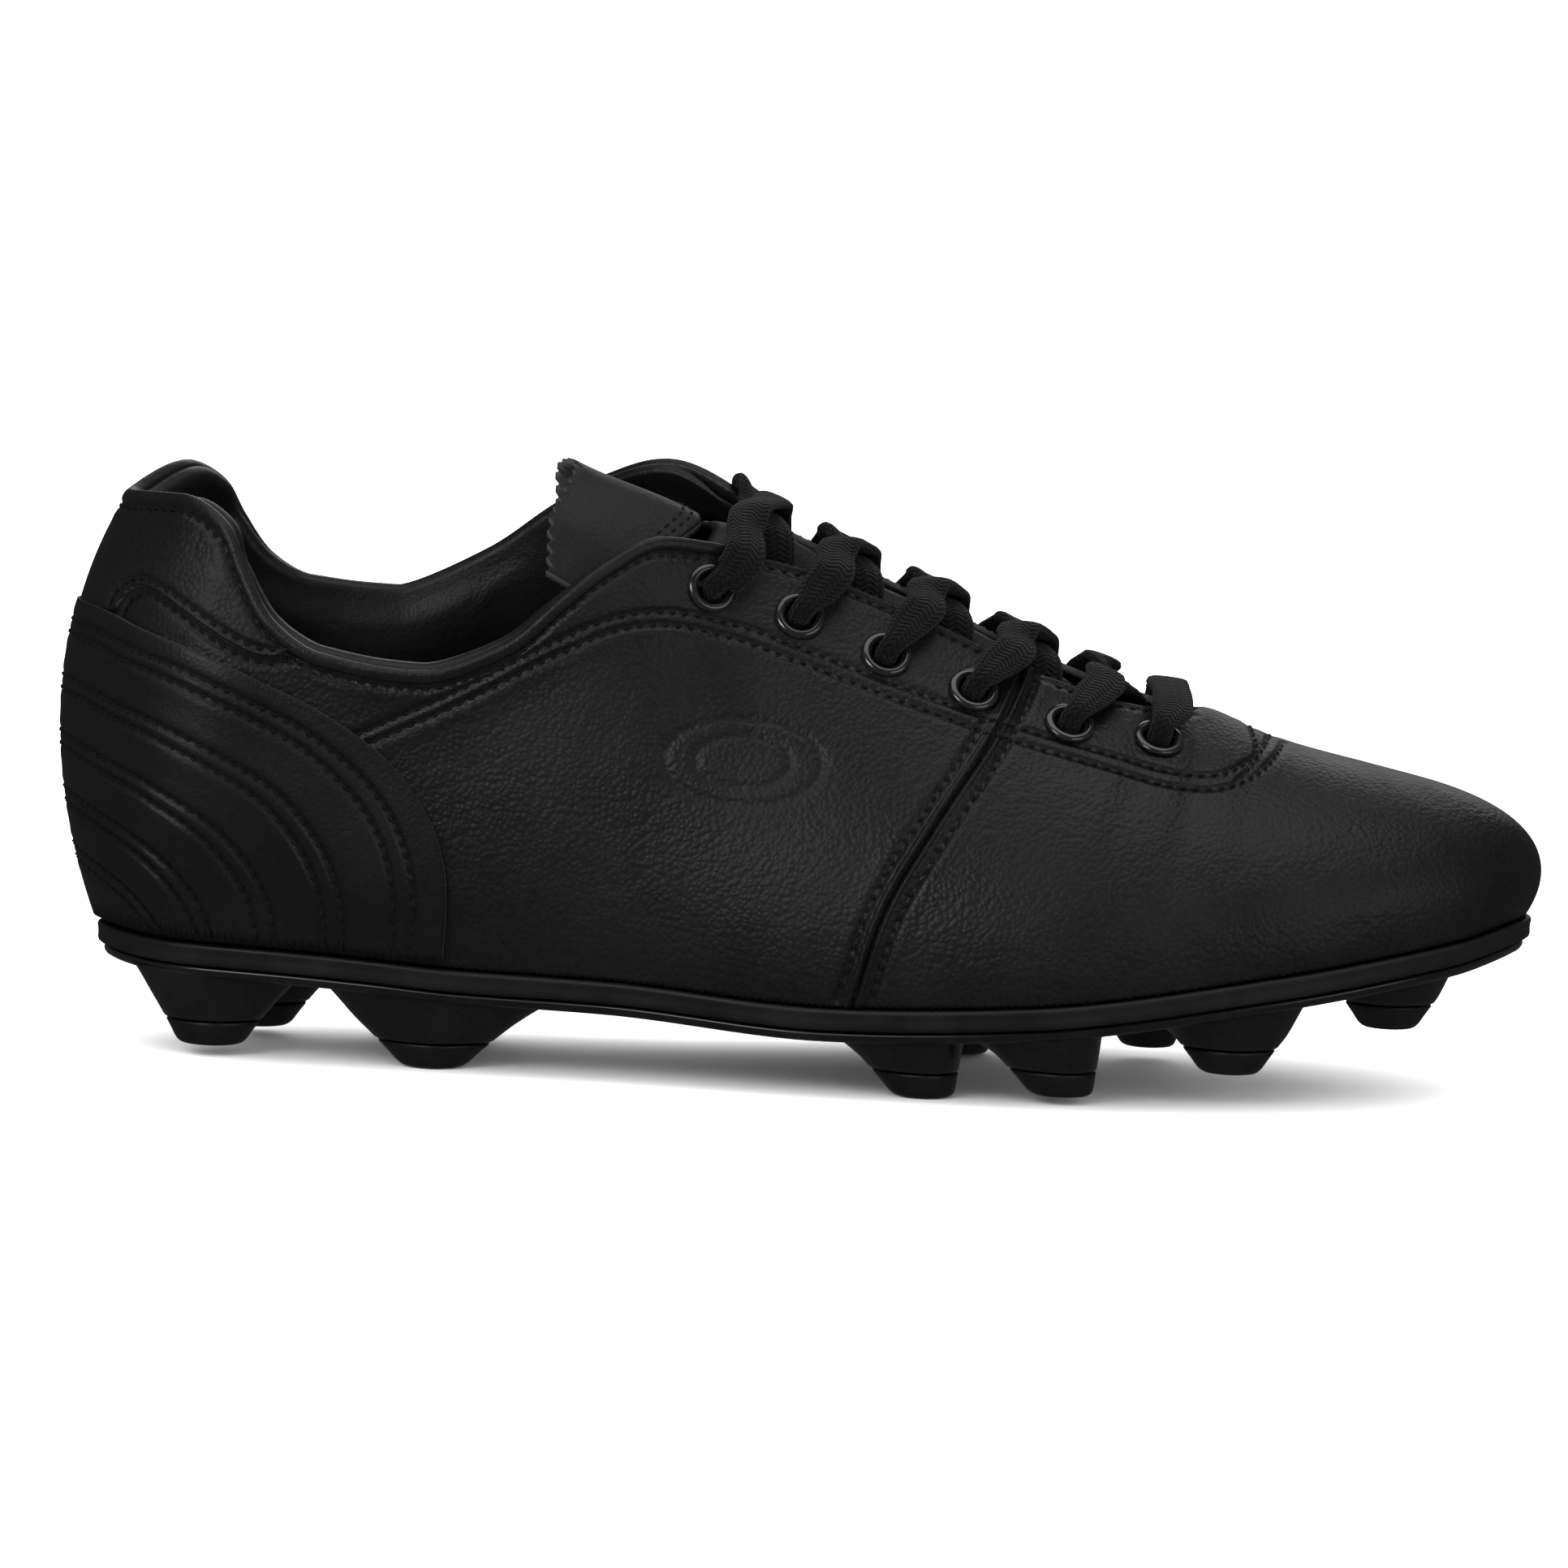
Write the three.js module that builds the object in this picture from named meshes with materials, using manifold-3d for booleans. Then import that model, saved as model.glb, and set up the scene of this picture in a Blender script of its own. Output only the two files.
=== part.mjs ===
// Football boot for firm ground, right foot: a laced leather upper lasted on to a moulded sole with twelve studs.
// Millimetres, +Z up, toe towards +X, outer (lateral) side towards -Y. The boot stands on the plane Z = 0,
// with the origin under the middle of its bounding box.
import * as THREE from "three";
import { mergeVertices } from "three/addons/utils/BufferGeometryUtils.js";
import Module from "manifold-3d";

const wasm = await Module();
wasm.setup();

// ---------------------------------------------------------------- driving dimensions
const BOOT_LENGTH = 286; // heel back to toe tip
const BOOT_WIDTH = 97; // across the ball
const BOOT_HEIGHT = 116; // ground to the top of the inner quarter
const GAP = 0.3; // clearance between neighbouring pieces
const FACET_SAG = 0.08; // what a flat facet may stand proud of a curved ply beside it
const PLY_GAP = 0.45; // clearance between the layers of the upper

const LEATHER = 1.4;
const STIFFENER = 1.0; // heel counter and toe puff
const FACING = 0.6; // reinforcement round the eyelets
const LINING = 1.0;
const COLLAR_PAD = 3.0; // extra foam thickness round the ankle
const HEEL_CAP = 1.2;
const COUNTER = { bottom: 0.125, top: 0.58 }; // shares of the side's height
const LASTING_MARGIN = 10; // leather turned in under the insole board
const BINDING_RADIUS = 2.5; // rolled edge of the topline

const MIDSOLE = 4.2;
const MIDSOLE_LIP = 1.1; // how far the midsole stands out past the leather
const OUTSOLE = 2.1;
const OUTSOLE_INSET = 1.4; // how far the outsole stands in from the midsole
const INSOLE_BOARD = 1.5;
const SOCK_LINER = 3.0;
const SHANK = { length: 96, width: 14, thickness: 1.1 };

const EYELETS = 6; // on each side
const EYELET_PITCH = 17.5;
const EYELET_INSET = 12; // from the eyestay edge to the hole's centre
const EYELET_RISE = 4.2; // the top eyelet is this much nearer the edge
const EYELET_BORE = 2.9;
const EYELET_WALL = 0.4;
const EYELET_FLANGE = 4.9;
const EYELET_FLANGE_THICKNESS = 0.9;
const EYELET_CHAMFER = 0.6; // slope of the flange at its rim
const EYELET_LIP = 0.4; // width of the rounded lip round the bore
const EYELET_SEAT = 0.55; // the flange stands this far off the curved leather
const EYELET_ROLL = 4.0; // radius of the edge rolled over inside
const EYELET_ROLL_THICKNESS = 0.6;

const LACE_WIDTH = 7.5;
const LACE_THICKNESS = 1.6;
const LACE_CROSSED_WIDTH = 5.6; // where two strands cross
const LACE_BUNCHED_WIDTH = 4.2; // the lace gathers to this width inside an eyelet
const LACE_LEAN = THREE.MathUtils.degToRad(25);
const AGLET = { length: 20, radius: 1.7 };

const TONGUE = 2.4;
const TONGUE_WRAP = 16.5; // how far the tongue reaches in under each eyestay
const FLAP = 1.6;
const FLAP_LENGTH = 29;
const FLAP_GIRTH = 54; // along its arched edge
const FLAP_SLOPE = THREE.MathUtils.degToRad(22);
const FLAP_TRIM = 0.93; // share of the tongue's arch that the flap takes up
const PINKING_PITCH = 3.0; // tooth spacing of the zigzag edge
const PINKING_DEPTH = 1.5;

const STUD_TIP_HEIGHT = 4.6;
const STUD_PEG = { radius: 2.0, height: 2.6 };
const PEG_ROOT = 1; // how deep the peg is set in the tip
const STUD_SIDES = 12;
const STUD_TAPER = 0.12; // growth of the radius from the ground to the plate
const STUD_FLARE_POWER = 1.15; // how late the flare starts on its way up to the plate

// ---------------------------------------------------------------- pattern of the base size
// A station number runs round the boot: 0 toe tip, 4 outer ball, 8 heel back, 12 inner waist, 16 toe tip again.
const STATIONS = 16;
const BASE = { length: 286, width: 97, height: 116 };
const GRADE = new THREE.Vector3(
  BOOT_LENGTH / BASE.length,
  BOOT_WIDTH / BASE.width,
  BOOT_HEIGHT / BASE.height,
);

// Feather line, where the leather meets the sole, seen from above: [station, x, y].
const FEATHER = [
  [0, 141.8, 5],
  [1, 128.5, -23],
  [2, 92, -41.5],
  [3, 45, -47.5],
  [4, 5, -43.5],
  [5, -35, -35.5],
  [6, -80, -31],
  [7, -118, -24],
  [8, -133.5, 0],
  [9, -118, 24],
  [10, -80, 30],
  [11, -35, 29],
  [12, 5, 36],
  [13, 45, 46.5],
  [14, 92, 45],
  [15, 128.5, 30],
];
// Height of the feather line: [x, z].
const SOLE_LINE = [
  [-136, 23.2],
  [-122, 22.6],
  [-100, 22.1],
  [-80, 21.2],
  [-64, 20.2],
  [-35, 19.6],
  [5, 17.4],
  [45, 19.4],
  [92, 26.4],
  [127, 32.6],
  [142, 35],
];

// Edge of the leather: along the crest from the toe to the throat, up the eyestay and round the topline.
const OUTER_EDGE = [
  [0, 112, 0, 62.6],
  [1, 104, 0, 64.6],
  [2, 90, 0, 68.2],
  [2.5, 77, 0, 73],
  [2.65, 74.5, -5, 72.3],
  [3, 60, -10.5, 74.4],
  [3.5, 43, -12, 80],
  [4, 20, -12.8, 90],
  [4.5, -4, -14, 98.3],
  [4.75, -15, -17.5, 100.3],
  [5, -27.5, -23.5, 101.6],
  [5.25, -38, -28, 96.5],
  [5.5, -46, -30.5, 89.8],
  [5.75, -56, -32.5, 81],
  [6, -72, -33.5, 75],
  [6.5, -92, -32, 77.6],
  [6.75, -102, -30, 84],
  [7, -107.5, -27, 93],
  [7.25, -112, -23.5, 100],
  [7.5, -119, -17.5, 102.7],
  [8, -131, 0, 101.8],
];
const INNER_EDGE = [
  [2.5, 77, 0, 73],
  [2.65, 74.5, 5, 72.5],
  [3, 60, 10.5, 77.4],
  [3.5, 43, 12, 84.5],
  [4, 20, 12.8, 95],
  [4.5, -4, 14, 105],
  [4.75, -15, 17.5, 109],
  [5, -27.5, 22.5, 110.4],
  [5.25, -38, 27, 107],
  [5.5, -48, 30, 100.5],
  [5.75, -60, 32, 91.5],
  [6, -80, 32.5, 82.3],
  [6.5, -98.5, 31, 84],
  [6.75, -108.5, 29, 89.5],
  [7, -114.5, 26, 98],
  [7.25, -117.5, 23, 104],
  [7.5, -122, 17.5, 106.5],
];
const THROAT_STATION = 2.5; // forward of it the two sides join along the crest

// Bulge of the side: [station, out and up at the feather line, out and down at the edge].
const BULGE = [
  [0, 7, 11.5, 30, 4.6],
  [1, 8, 15, 23, 3.2],
  [2, 6, 20, 21, 2.5],
  [2.5, 5, 21, 20, 3.5],
  [3, 5, 22, 19, 7],
  [3.5, 5, 24, 17, 9],
  [4, 5.5, 26, 14, 12],
  [4.5, 6, 27, 11, 16],
  [5, 6, 28, 8, 24],
  [5.5, 6, 25, 2, 24],
  [6, 6.5, 20, -2, 20],
  [6.5, 7, 20, 0, 20],
  [7, 9, 24, 10, 26],
  [7.5, 10, 25, 14.5, 27],
  [8, 9.5, 24, 15.5, 27],
];

// Studs: [name, x, y, height of the tip above ground, tip radius, flare behind, flare in front, flare to the side].
const STUDS = [
  ["heel_outer_rear", -110.8, -15.5, 1.9, 6.4, 7.5, 9.5, 2.5],
  ["heel_outer_front", -68, -20, 0, 6.4, 14, 15, 3.5],
  ["heel_inner_rear", -104, 15, 1.7, 6.4, 8, 10, 3],
  ["heel_inner_front", -68, 19, 0, 6.4, 14, 15, 3.5],
  ["ball_outer_rear", 25.7, -33, 0, 6, 10, 0.8, 3],
  ["ball_outer_front", 51.8, -34.5, 1.4, 6, 11, 0.8, 3],
  ["toe_outer_rear", 83.8, -29, 6.2, 5.7, 9.5, 8, 3],
  ["toe_outer_front", 114.8, -13, 14, 5.4, 6.5, 6, 3],
  ["ball_inner_rear", 34, 28, 0, 5.4, 9, 1.5, 3],
  ["ball_inner_front", 71, 31, 2.5, 5.4, 8, 2, 3],
  ["toe_inner_rear", 93, 27, 8.5, 5.7, 6, 6, 3],
  ["toe_inner_front", 116, 14, 14.3, 5.4, 6, 6, 3],
];

// Side-view seams of the upper: [x, z].
const VAMP_SEAM = [
  [43.2, 84],
  [36.4, 68.4],
  [25.4, 51.5],
  [16.9, 36.3],
  [11.5, 18],
];
const HEEL_CAP_EDGE = [
  [-150, 86.5],
  [-138.6, 84.6],
  [-127, 81.9],
  [-105.7, 74.7],
  [-85.4, 65],
  [-74.5, 56],
  [-68, 46],
  [-65.5, 35.2],
  [-66, 10],
];
const COLLAR_SEAM = [
  [-150, 80],
  [-131.5, 82.5],
  [-127.5, 87.5],
  [-123.5, 88.3],
  [-112.5, 82],
  [-101.4, 75],
  [-92, 72.5],
  [-84, 90],
];

// ---------------------------------------------------------------- curves
// A curve through rows [station, values...] that never overshoots between them (monotone cubic).
function through(rows) {
  const width = rows[0].length - 1;
  const slopes = rows.map(() => new Array(width).fill(0));
  const rise = (i, k) => (rows[i + 1][k + 1] - rows[i][k + 1]) / (rows[i + 1][0] - rows[i][0]);
  for (let i = 1; i < rows.length - 1; i++) {
    const before = rows[i][0] - rows[i - 1][0];
    const after = rows[i + 1][0] - rows[i][0];
    for (let k = 0; k < width; k++) {
      const a = rise(i - 1, k);
      const b = rise(i, k);
      if (a * b > 0) {
        slopes[i][k] = (3 * (before + after)) / ((2 * after + before) / a + (after + 2 * before) / b);
      }
    }
  }
  return (u) => {
    let i = rows.findIndex((row) => row[0] > u) - 1;
    i = i < 0 ? rows.length - 2 : i;
    const h = rows[i + 1][0] - rows[i][0];
    const t = THREE.MathUtils.clamp((u - rows[i][0]) / h, 0, 1);
    const start = (1 + 2 * t) * (1 - t) * (1 - t);
    const end = t * t * (3 - 2 * t);
    const out = [];
    for (let k = 0; k < width; k++) {
      out.push(
        start * rows[i][k + 1] +
          end * rows[i + 1][k + 1] +
          h * t * (1 - t) * ((1 - t) * slopes[i][k] - t * slopes[i + 1][k]),
      );
    }
    return out;
  };
}

// The same for a closed run of stations.
function roundTheBoot(rows) {
  const shifted = (by) => rows.map(([u, ...values]) => [u + by, ...values]);
  const curve = through([...shifted(-STATIONS), ...rows, ...shifted(STATIONS)]);
  return (u) => curve(THREE.MathUtils.euclideanModulo(u, STATIONS));
}

const mirrored = (rows) => rows.map(([u, ...values]) => [STATIONS - u, ...values]).reverse();
const crestRows = OUTER_EDGE.filter(([u]) => u < THROAT_STATION);
const edgeRows = [...OUTER_EDGE, ...mirrored([...crestRows.slice(1), ...INNER_EDGE])];
const bulgeRows = [...BULGE, ...mirrored(BULGE.slice(1, -1))];

const featherCurve = roundTheBoot(FEATHER);
const edgeCurve = roundTheBoot(edgeRows);
const bulgeCurve = roundTheBoot(bulgeRows);

const soleCurve = through(SOLE_LINE);

const graded = ([x, y, z]) => new THREE.Vector3(x, y, z).multiply(GRADE);
const edge = (u) => graded(edgeCurve(u));
const soleHeight = (x) => soleCurve(x / GRADE.x)[0] * GRADE.z;

// A point at the feather line's height, moved out from the feather line and up.
function onSole(u, offset, height) {
  const point = graded([...featherCurve(u), 0]);
  if (offset) point.addScaledVector(outward(u), offset);
  point.z = soleHeight(point.x) + height;
  return point;
}

const feather = (u) => onSole(u, 0, 0);

// Horizontal direction pointing away from the boot at a station.
function outward(u) {
  const step = 0.04;
  const along = graded([...featherCurve(u + step), 0]).sub(graded([...featherCurve(u - step), 0]));
  return new THREE.Vector3(-along.y, along.x, 0).normalize();
}

const onCrest = (u) => {
  const fromToe = Math.min(u, STATIONS - u);
  return fromToe <= THROAT_STATION;
};

// ---------------------------------------------------------------- outer face of the leather
// v is 0 at the feather line and 1 at the edge; depth is measured inwards along the normal.
function facePoint(u, v) {
  const [outLow, upLow, outHigh, downHigh] = bulgeCurve(u);
  const out = outward(u);
  const start = feather(u);
  const end = edge(u);
  const low = start.clone().addScaledVector(out, outLow * GRADE.y);
  low.z += upLow * GRADE.z;
  const high = end.clone().addScaledVector(out, outHigh * GRADE.y);
  high.z -= downHigh * GRADE.z;
  return new THREE.CubicBezierCurve3(start, low, high, end).getPoint(v);
}

function crestNormal(u) {
  const fromToe = THREE.MathUtils.clamp(Math.min(u, STATIONS - u), 0.2, THROAT_STATION - 0.1);
  const along = edge(fromToe + 0.1).sub(edge(fromToe - 0.1));
  return new THREE.Vector3(along.z, 0, -along.x).normalize();
}

function faceNormal(u, v) {
  if (v > 0.999 && onCrest(u)) return crestNormal(u);
  const du = 0.03;
  const dv = 0.01;
  const along = facePoint(u + du, v).sub(facePoint(u - du, v));
  const up = facePoint(u, Math.min(v + dv, 1)).sub(facePoint(u, Math.max(v - dv, 0)));
  return up.cross(along).normalize();
}

const layerPoint = (u, v, depth) => facePoint(u, v).addScaledVector(faceNormal(u, v), -depth);

// The v at which a rising quantity of a station's profile reaches a value.
function solveV(measure, value) {
  let low = 0;
  let high = 1;
  for (let i = 0; i < 24; i++) {
    const middle = (low + high) / 2;
    if (measure(middle) < value) low = middle;
    else high = middle;
  }
  return (low + high) / 2;
}

const vAtHeight = (u, height) => solveV((v) => facePoint(u, v).z - feather(u).z, height);

// The v at a distance, measured on the leather, below the edge.
function vAtInset(u, inset) {
  const steps = 40;
  let last = facePoint(u, 1);
  let run = 0;
  for (let i = 1; i <= steps; i++) {
    const point = facePoint(u, 1 - i / steps);
    const piece = point.distanceTo(last);
    if (run + piece >= inset) return 1 - (i - 1 + (inset - run) / piece) / steps;
    run += piece;
    last = point;
  }
  return 0;
}

// The station whose eyestay edge lies at this x; side is -1 outer, +1 inner.
function eyestayStation(x, side) {
  let low = THROAT_STATION;
  let high = 6;
  for (let i = 0; i < 30; i++) {
    const middle = (low + high) / 2;
    if (edge(side < 0 ? middle : STATIONS - middle).x > x) low = middle;
    else high = middle;
  }
  const station = (low + high) / 2;
  return side < 0 ? station : STATIONS - station;
}

function onEyestay(x, side, inset, depth) {
  const u = eyestayStation(x, side);
  const v = vAtInset(u, inset);
  return { point: layerPoint(u, v, depth), normal: faceNormal(u, v) };
}

// Rises smoothly from 0 to 1 as x goes from one value to the other, which may be the smaller.
function smooth(x, from, to) {
  const t = THREE.MathUtils.clamp((x - from) / (to - from), 0, 1);
  return t * t * (3 - 2 * t);
}

// Extra depth of the collar foam at a station.
function padding(u, v) {
  const fromToe = Math.min(u, STATIONS - u);
  return COLLAR_PAD * smooth(fromToe, 5.2, 6.2) * smooth(v, 0.5, 0.8) * (1 - 0.45 * smooth(v, 0.88, 1));
}

const RIM = PLY_GAP + STIFFENER + PLY_GAP; // depth of the lining's outer face behind the leather, less the leather itself
const liningOuter = (u, v) => LEATHER + RIM + padding(u, v);
const liningInner = (u, v) => liningOuter(u, v) + LINING;
const LINED = LEATHER + RIM + LINING; // the whole wall away from the collar

// ---------------------------------------------------------------- solids
// Gathers triangles into one closed geometry.
class Skin {
  constructor() {
    this.positions = [];
  }
  tri(a, b, c) {
    this.positions.push(...a.toArray(), ...b.toArray(), ...c.toArray());
  }
  quad(a, b, c, d) {
    this.tri(a, b, c);
    this.tri(a, c, d);
  }
  geometry() {
    const loose = new THREE.BufferGeometry();
    loose.setAttribute("position", new THREE.Float32BufferAttribute(this.positions, 3));
    return mergeVertices(loose, 1e-3);
  }
}

// A solid between an outer and an inner grid, each grid[i][j] with i round the boot and j upwards.
function sandwich(outer, inner, { closed, openAt = () => true }) {
  const skin = new Skin();
  const columns = outer.length;
  const rows = outer[0].length;
  const last = closed ? columns : columns - 1;
  for (let i = 0; i < last; i++) {
    const n = (i + 1) % columns;
    for (let j = 0; j < rows - 1; j++) {
      skin.quad(outer[i][j], outer[i][j + 1], outer[n][j + 1], outer[n][j]);
      skin.quad(inner[i][j], inner[n][j], inner[n][j + 1], inner[i][j + 1]);
    }
    skin.quad(outer[i][0], outer[n][0], inner[n][0], inner[i][0]);
    if (openAt(i)) {
      skin.quad(outer[i][rows - 1], inner[i][rows - 1], inner[n][rows - 1], outer[n][rows - 1]);
    }
  }
  if (!closed) {
    for (let j = 0; j < rows - 1; j++) {
      skin.quad(outer[0][j], inner[0][j], inner[0][j + 1], outer[0][j + 1]);
      const e = columns - 1;
      skin.quad(outer[e][j], outer[e][j + 1], inner[e][j + 1], inner[e][j]);
    }
  }
  return skin.geometry();
}

const spread = (from, to, count) =>
  Array.from({ length: count }, (_, i) => from + ((to - from) * i) / (count - 1));

const COLUMNS = 64; // stations round the leather, shared by what lies against it
const ROWS = 6; // strips of the leather from the feather line to the edge

const stationsFrom = (from, to) => spread(from, to, Math.round(((to - from) * COLUMNS) / STATIONS) + 1);

// The leather's own rows between two values of v, with those two at the ends.
function rowsBetween(low, high) {
  const inside = spread(0, 1, ROWS + 1).filter((v) => v > low + 0.03 && v < high - 0.03);
  return [low, ...inside, high];
}

// A layer of the whole upper, zipped along the crest; bottom(u) is where the layer starts.
function wholeLayer(bottom, outerDepth, innerDepth, margin = 0) {
  const stations = Array.from({ length: COLUMNS }, (_, i) => (i * STATIONS) / COLUMNS);
  const shared = rowsBetween(Math.max(...stations.map(bottom)), 1).slice(1);
  const grid = (depth, lift, inside) =>
    stations.map((u) => {
      const column = [bottom(u), ...shared].map((v) => layerPoint(u, v, depth(u, v)));
      if (margin) {
        column[0] = onSole(u, -inside, lift);
        column.unshift(onSole(u, -margin, lift));
      }
      return column;
    });
  const openAt = (i) => !(onCrest(stations[i]) && onCrest((stations[i] + STATIONS / COLUMNS) % STATIONS));
  return sandwich(grid(outerDepth, 0, 0), grid(innerDepth, LEATHER, LEATHER), { closed: true, openAt });
}

// A patch of a layer: rows(u) gives the values of v at a station, from the lowest up.
function patchLayer(stations, rows, outerDepth, innerDepth) {
  const grid = (depth) => stations.map((u) => rows(u).map((v) => layerPoint(u, v, depth(u, v))));
  return sandwich(grid(outerDepth), grid(innerDepth), { closed: false });
}

// A solid through rings of points that all run the same way, closed by fans at both ends.
function loft(rings) {
  const skin = new Skin();
  const count = rings[0].length;
  for (let k = 0; k < rings.length - 1; k++) {
    for (let i = 0; i < count; i++) {
      const n = (i + 1) % count;
      skin.quad(rings[k][i], rings[k][n], rings[k + 1][n], rings[k + 1][i]);
    }
  }
  const [first, last] = [rings[0], rings[rings.length - 1]];
  for (let i = 1; i < count - 1; i++) {
    skin.tri(first[0], first[i + 1], first[i]);
    skin.tri(last[0], last[i], last[i + 1]);
  }
  return skin.geometry();
}

// A slab that follows the feather line: rings of [offset outwards, height above the feather line],
// bridged straight across from the outer to the inner side at top and bottom.
function soleSlab(levels, columns = 48) {
  const rings = levels.map(([offset, height]) =>
    Array.from({ length: columns }, (_, i) => {
      const u = (i * STATIONS) / columns;
      return onSole(u, offset, height);
    }),
  );
  const skin = new Skin();
  for (let k = 0; k < rings.length - 1; k++) {
    for (let i = 0; i < columns; i++) {
      const n = (i + 1) % columns;
      skin.quad(rings[k][n], rings[k][i], rings[k + 1][i], rings[k + 1][n]);
    }
  }
  const bridge = (ring, up) => {
    for (let i = 0; i < columns / 2; i++) {
      const a = ring[i];
      const b = ring[i + 1];
      const c = ring[columns - i - 1];
      const d = ring[(columns - i) % columns];
      if (up) skin.quad(a, d, c, b);
      else skin.quad(a, b, c, d);
    }
  };
  bridge(rings[0], false);
  bridge(rings[rings.length - 1], true);
  return skin.geometry();
}

function solid(geometry) {
  const plain = geometry.index ? geometry.toNonIndexed() : geometry.clone();
  plain.deleteAttribute("normal");
  plain.deleteAttribute("uv");
  const merged = mergeVertices(plain, 1e-3);
  return new wasm.Manifold(
    new wasm.Mesh({
      numProp: 3,
      vertProperties: merged.attributes.position.array,
      triVerts: new Uint32Array(merged.index.array),
    }),
  );
}

function geometryOf(manifold) {
  const mesh = manifold.getMesh();
  const geometry = new THREE.BufferGeometry();
  geometry.setAttribute("position", new THREE.BufferAttribute(new Float32Array(mesh.vertProperties), 3));
  geometry.setIndex(new THREE.BufferAttribute(new Uint32Array(mesh.triVerts), 1));
  return geometry;
}

// A cutter: a side-view outline carried right through the boot, between two values of y.
function sideCutter(points, yFrom = -BOOT_WIDTH, yTo = BOOT_WIDTH) {
  const shape = new THREE.Shape(points.map(([x, z]) => new THREE.Vector2(x * GRADE.x, z * GRADE.z)));
  const block = new THREE.ExtrudeGeometry(shape, { depth: yTo - yFrom, bevelEnabled: false });
  block.rotateX(Math.PI / 2);
  block.translate(0, yTo, 0);
  return solid(block);
}

// The seam as a run of points, moved forward by dx.
const seamRun = (seam, steps, dx = 0) => {
  const curve = new THREE.SplineCurve(seam.map(([x, z]) => new THREE.Vector2(x, z)));
  return curve.getPoints(steps).map((p) => [p.x + dx, p.y]);
};

// ---------------------------------------------------------------- materials
const finish = (color, roughness, metalness = 0) =>
  new THREE.MeshStandardMaterial({ color, roughness, metalness });
const blackLeather = finish("#17171a", 0.45);
const liningLeather = finish("#1d1d20", 0.55);
const blackFoam = finish("#232326", 0.9);
const stiffBoard = finish("#3a3936", 0.85);
const satinRubber = finish("#191a1c", 0.5);
const glossyPolymer = finish("#101113", 0.22);
const springSteel = finish("#8b8e92", 0.35, 1);
const enamelledBrass = finish("#0b0b0c", 0.18, 0.6);
const lacePolyester = finish("#141213", 0.95);
const clearPlastic = finish("#1a1a1c", 0.2);

const boot = new THREE.Group();

function add(name, shape, material) {
  const geometry = shape.isBufferGeometry ? shape : geometryOf(shape);
  const mesh = new THREE.Mesh(geometry, material);
  mesh.name = name;
  boot.add(mesh);
  return mesh;
}

// ---------------------------------------------------------------- eyelets
const EYELET_SIDES = 10;
const eyeletX = (row) => (70 - row * EYELET_PITCH) * GRADE.x; // row 0 nearest the toe
const eyeletInset = (row) => EYELET_INSET - EYELET_RISE * smooth(row, EYELETS - 2.7, EYELETS - 1);
const eyeletPlace = (row, side) => onEyestay(eyeletX(row), side, eyeletInset(row), 0);
const SIDES = [
  ["outer", -1],
  ["inner", 1],
];

function placedOn(geometry, { point, normal }) {
  const turn = new THREE.Quaternion().setFromUnitVectors(new THREE.Vector3(0, 0, 1), normal);
  return geometry.applyQuaternion(turn).translate(point.x, point.y, point.z);
}

// Height of an eyelet's flange over its centre: clear of the curved leather all round its rim.
function eyeletSeat(row, side) {
  const { point, normal } = eyeletPlace(row, side);
  const rim = [-1, 0, 1].flatMap((ahead) =>
    [-1, 0, 1].map((below) => {
      const reach = EYELET_FLANGE / Math.max(Math.hypot(ahead, below), 1);
      return onEyestay(eyeletX(row) + ahead * reach, side, eyeletInset(row) + below * reach, 0).point;
    }),
  );
  const proud = Math.max(...rim.map((p) => p.sub(point).dot(normal)));
  return Math.max(EYELET_SEAT, proud + 3 * FACET_SAG);
}

function eyeletGeometry(seat) {
  const tube = EYELET_BORE + EYELET_WALL;
  const top = seat + EYELET_FLANGE_THICKNESS;
  const roll = -(LINED + 2 * PLY_GAP);
  const profile = [
    [EYELET_BORE, roll - EYELET_ROLL_THICKNESS],
    [EYELET_ROLL, roll - EYELET_ROLL_THICKNESS],
    [EYELET_ROLL, roll],
    [tube, roll],
    [tube, seat],
    [EYELET_FLANGE, seat],
    [EYELET_FLANGE - EYELET_CHAMFER, top],
    [EYELET_BORE + EYELET_LIP, top],
    [EYELET_BORE, roll - EYELET_ROLL_THICKNESS],
  ].map(([r, z]) => new THREE.Vector2(r, z));
  return new THREE.LatheGeometry(profile, EYELET_SIDES).rotateX(Math.PI / 2);
}

function eyeletHole(place, radius) {
  const drill = new THREE.CylinderGeometry(radius, radius, 4 * LINED, EYELET_SIDES).rotateX(Math.PI / 2);
  return solid(placedOn(drill, place));
}

const eyeletHoles = (radius) => {
  let all = null;
  for (const [, side] of SIDES) {
    for (let row = 0; row < EYELETS; row++) {
      const hole = eyeletHole(eyeletPlace(row, side), radius);
      all = all ? all.add(hole) : hole;
    }
  }
  return all;
};

// ---------------------------------------------------------------- sole
const lowestSole = -(GAP + MIDSOLE + GAP + OUTSOLE); // underside of the outsole below the feather line

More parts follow.
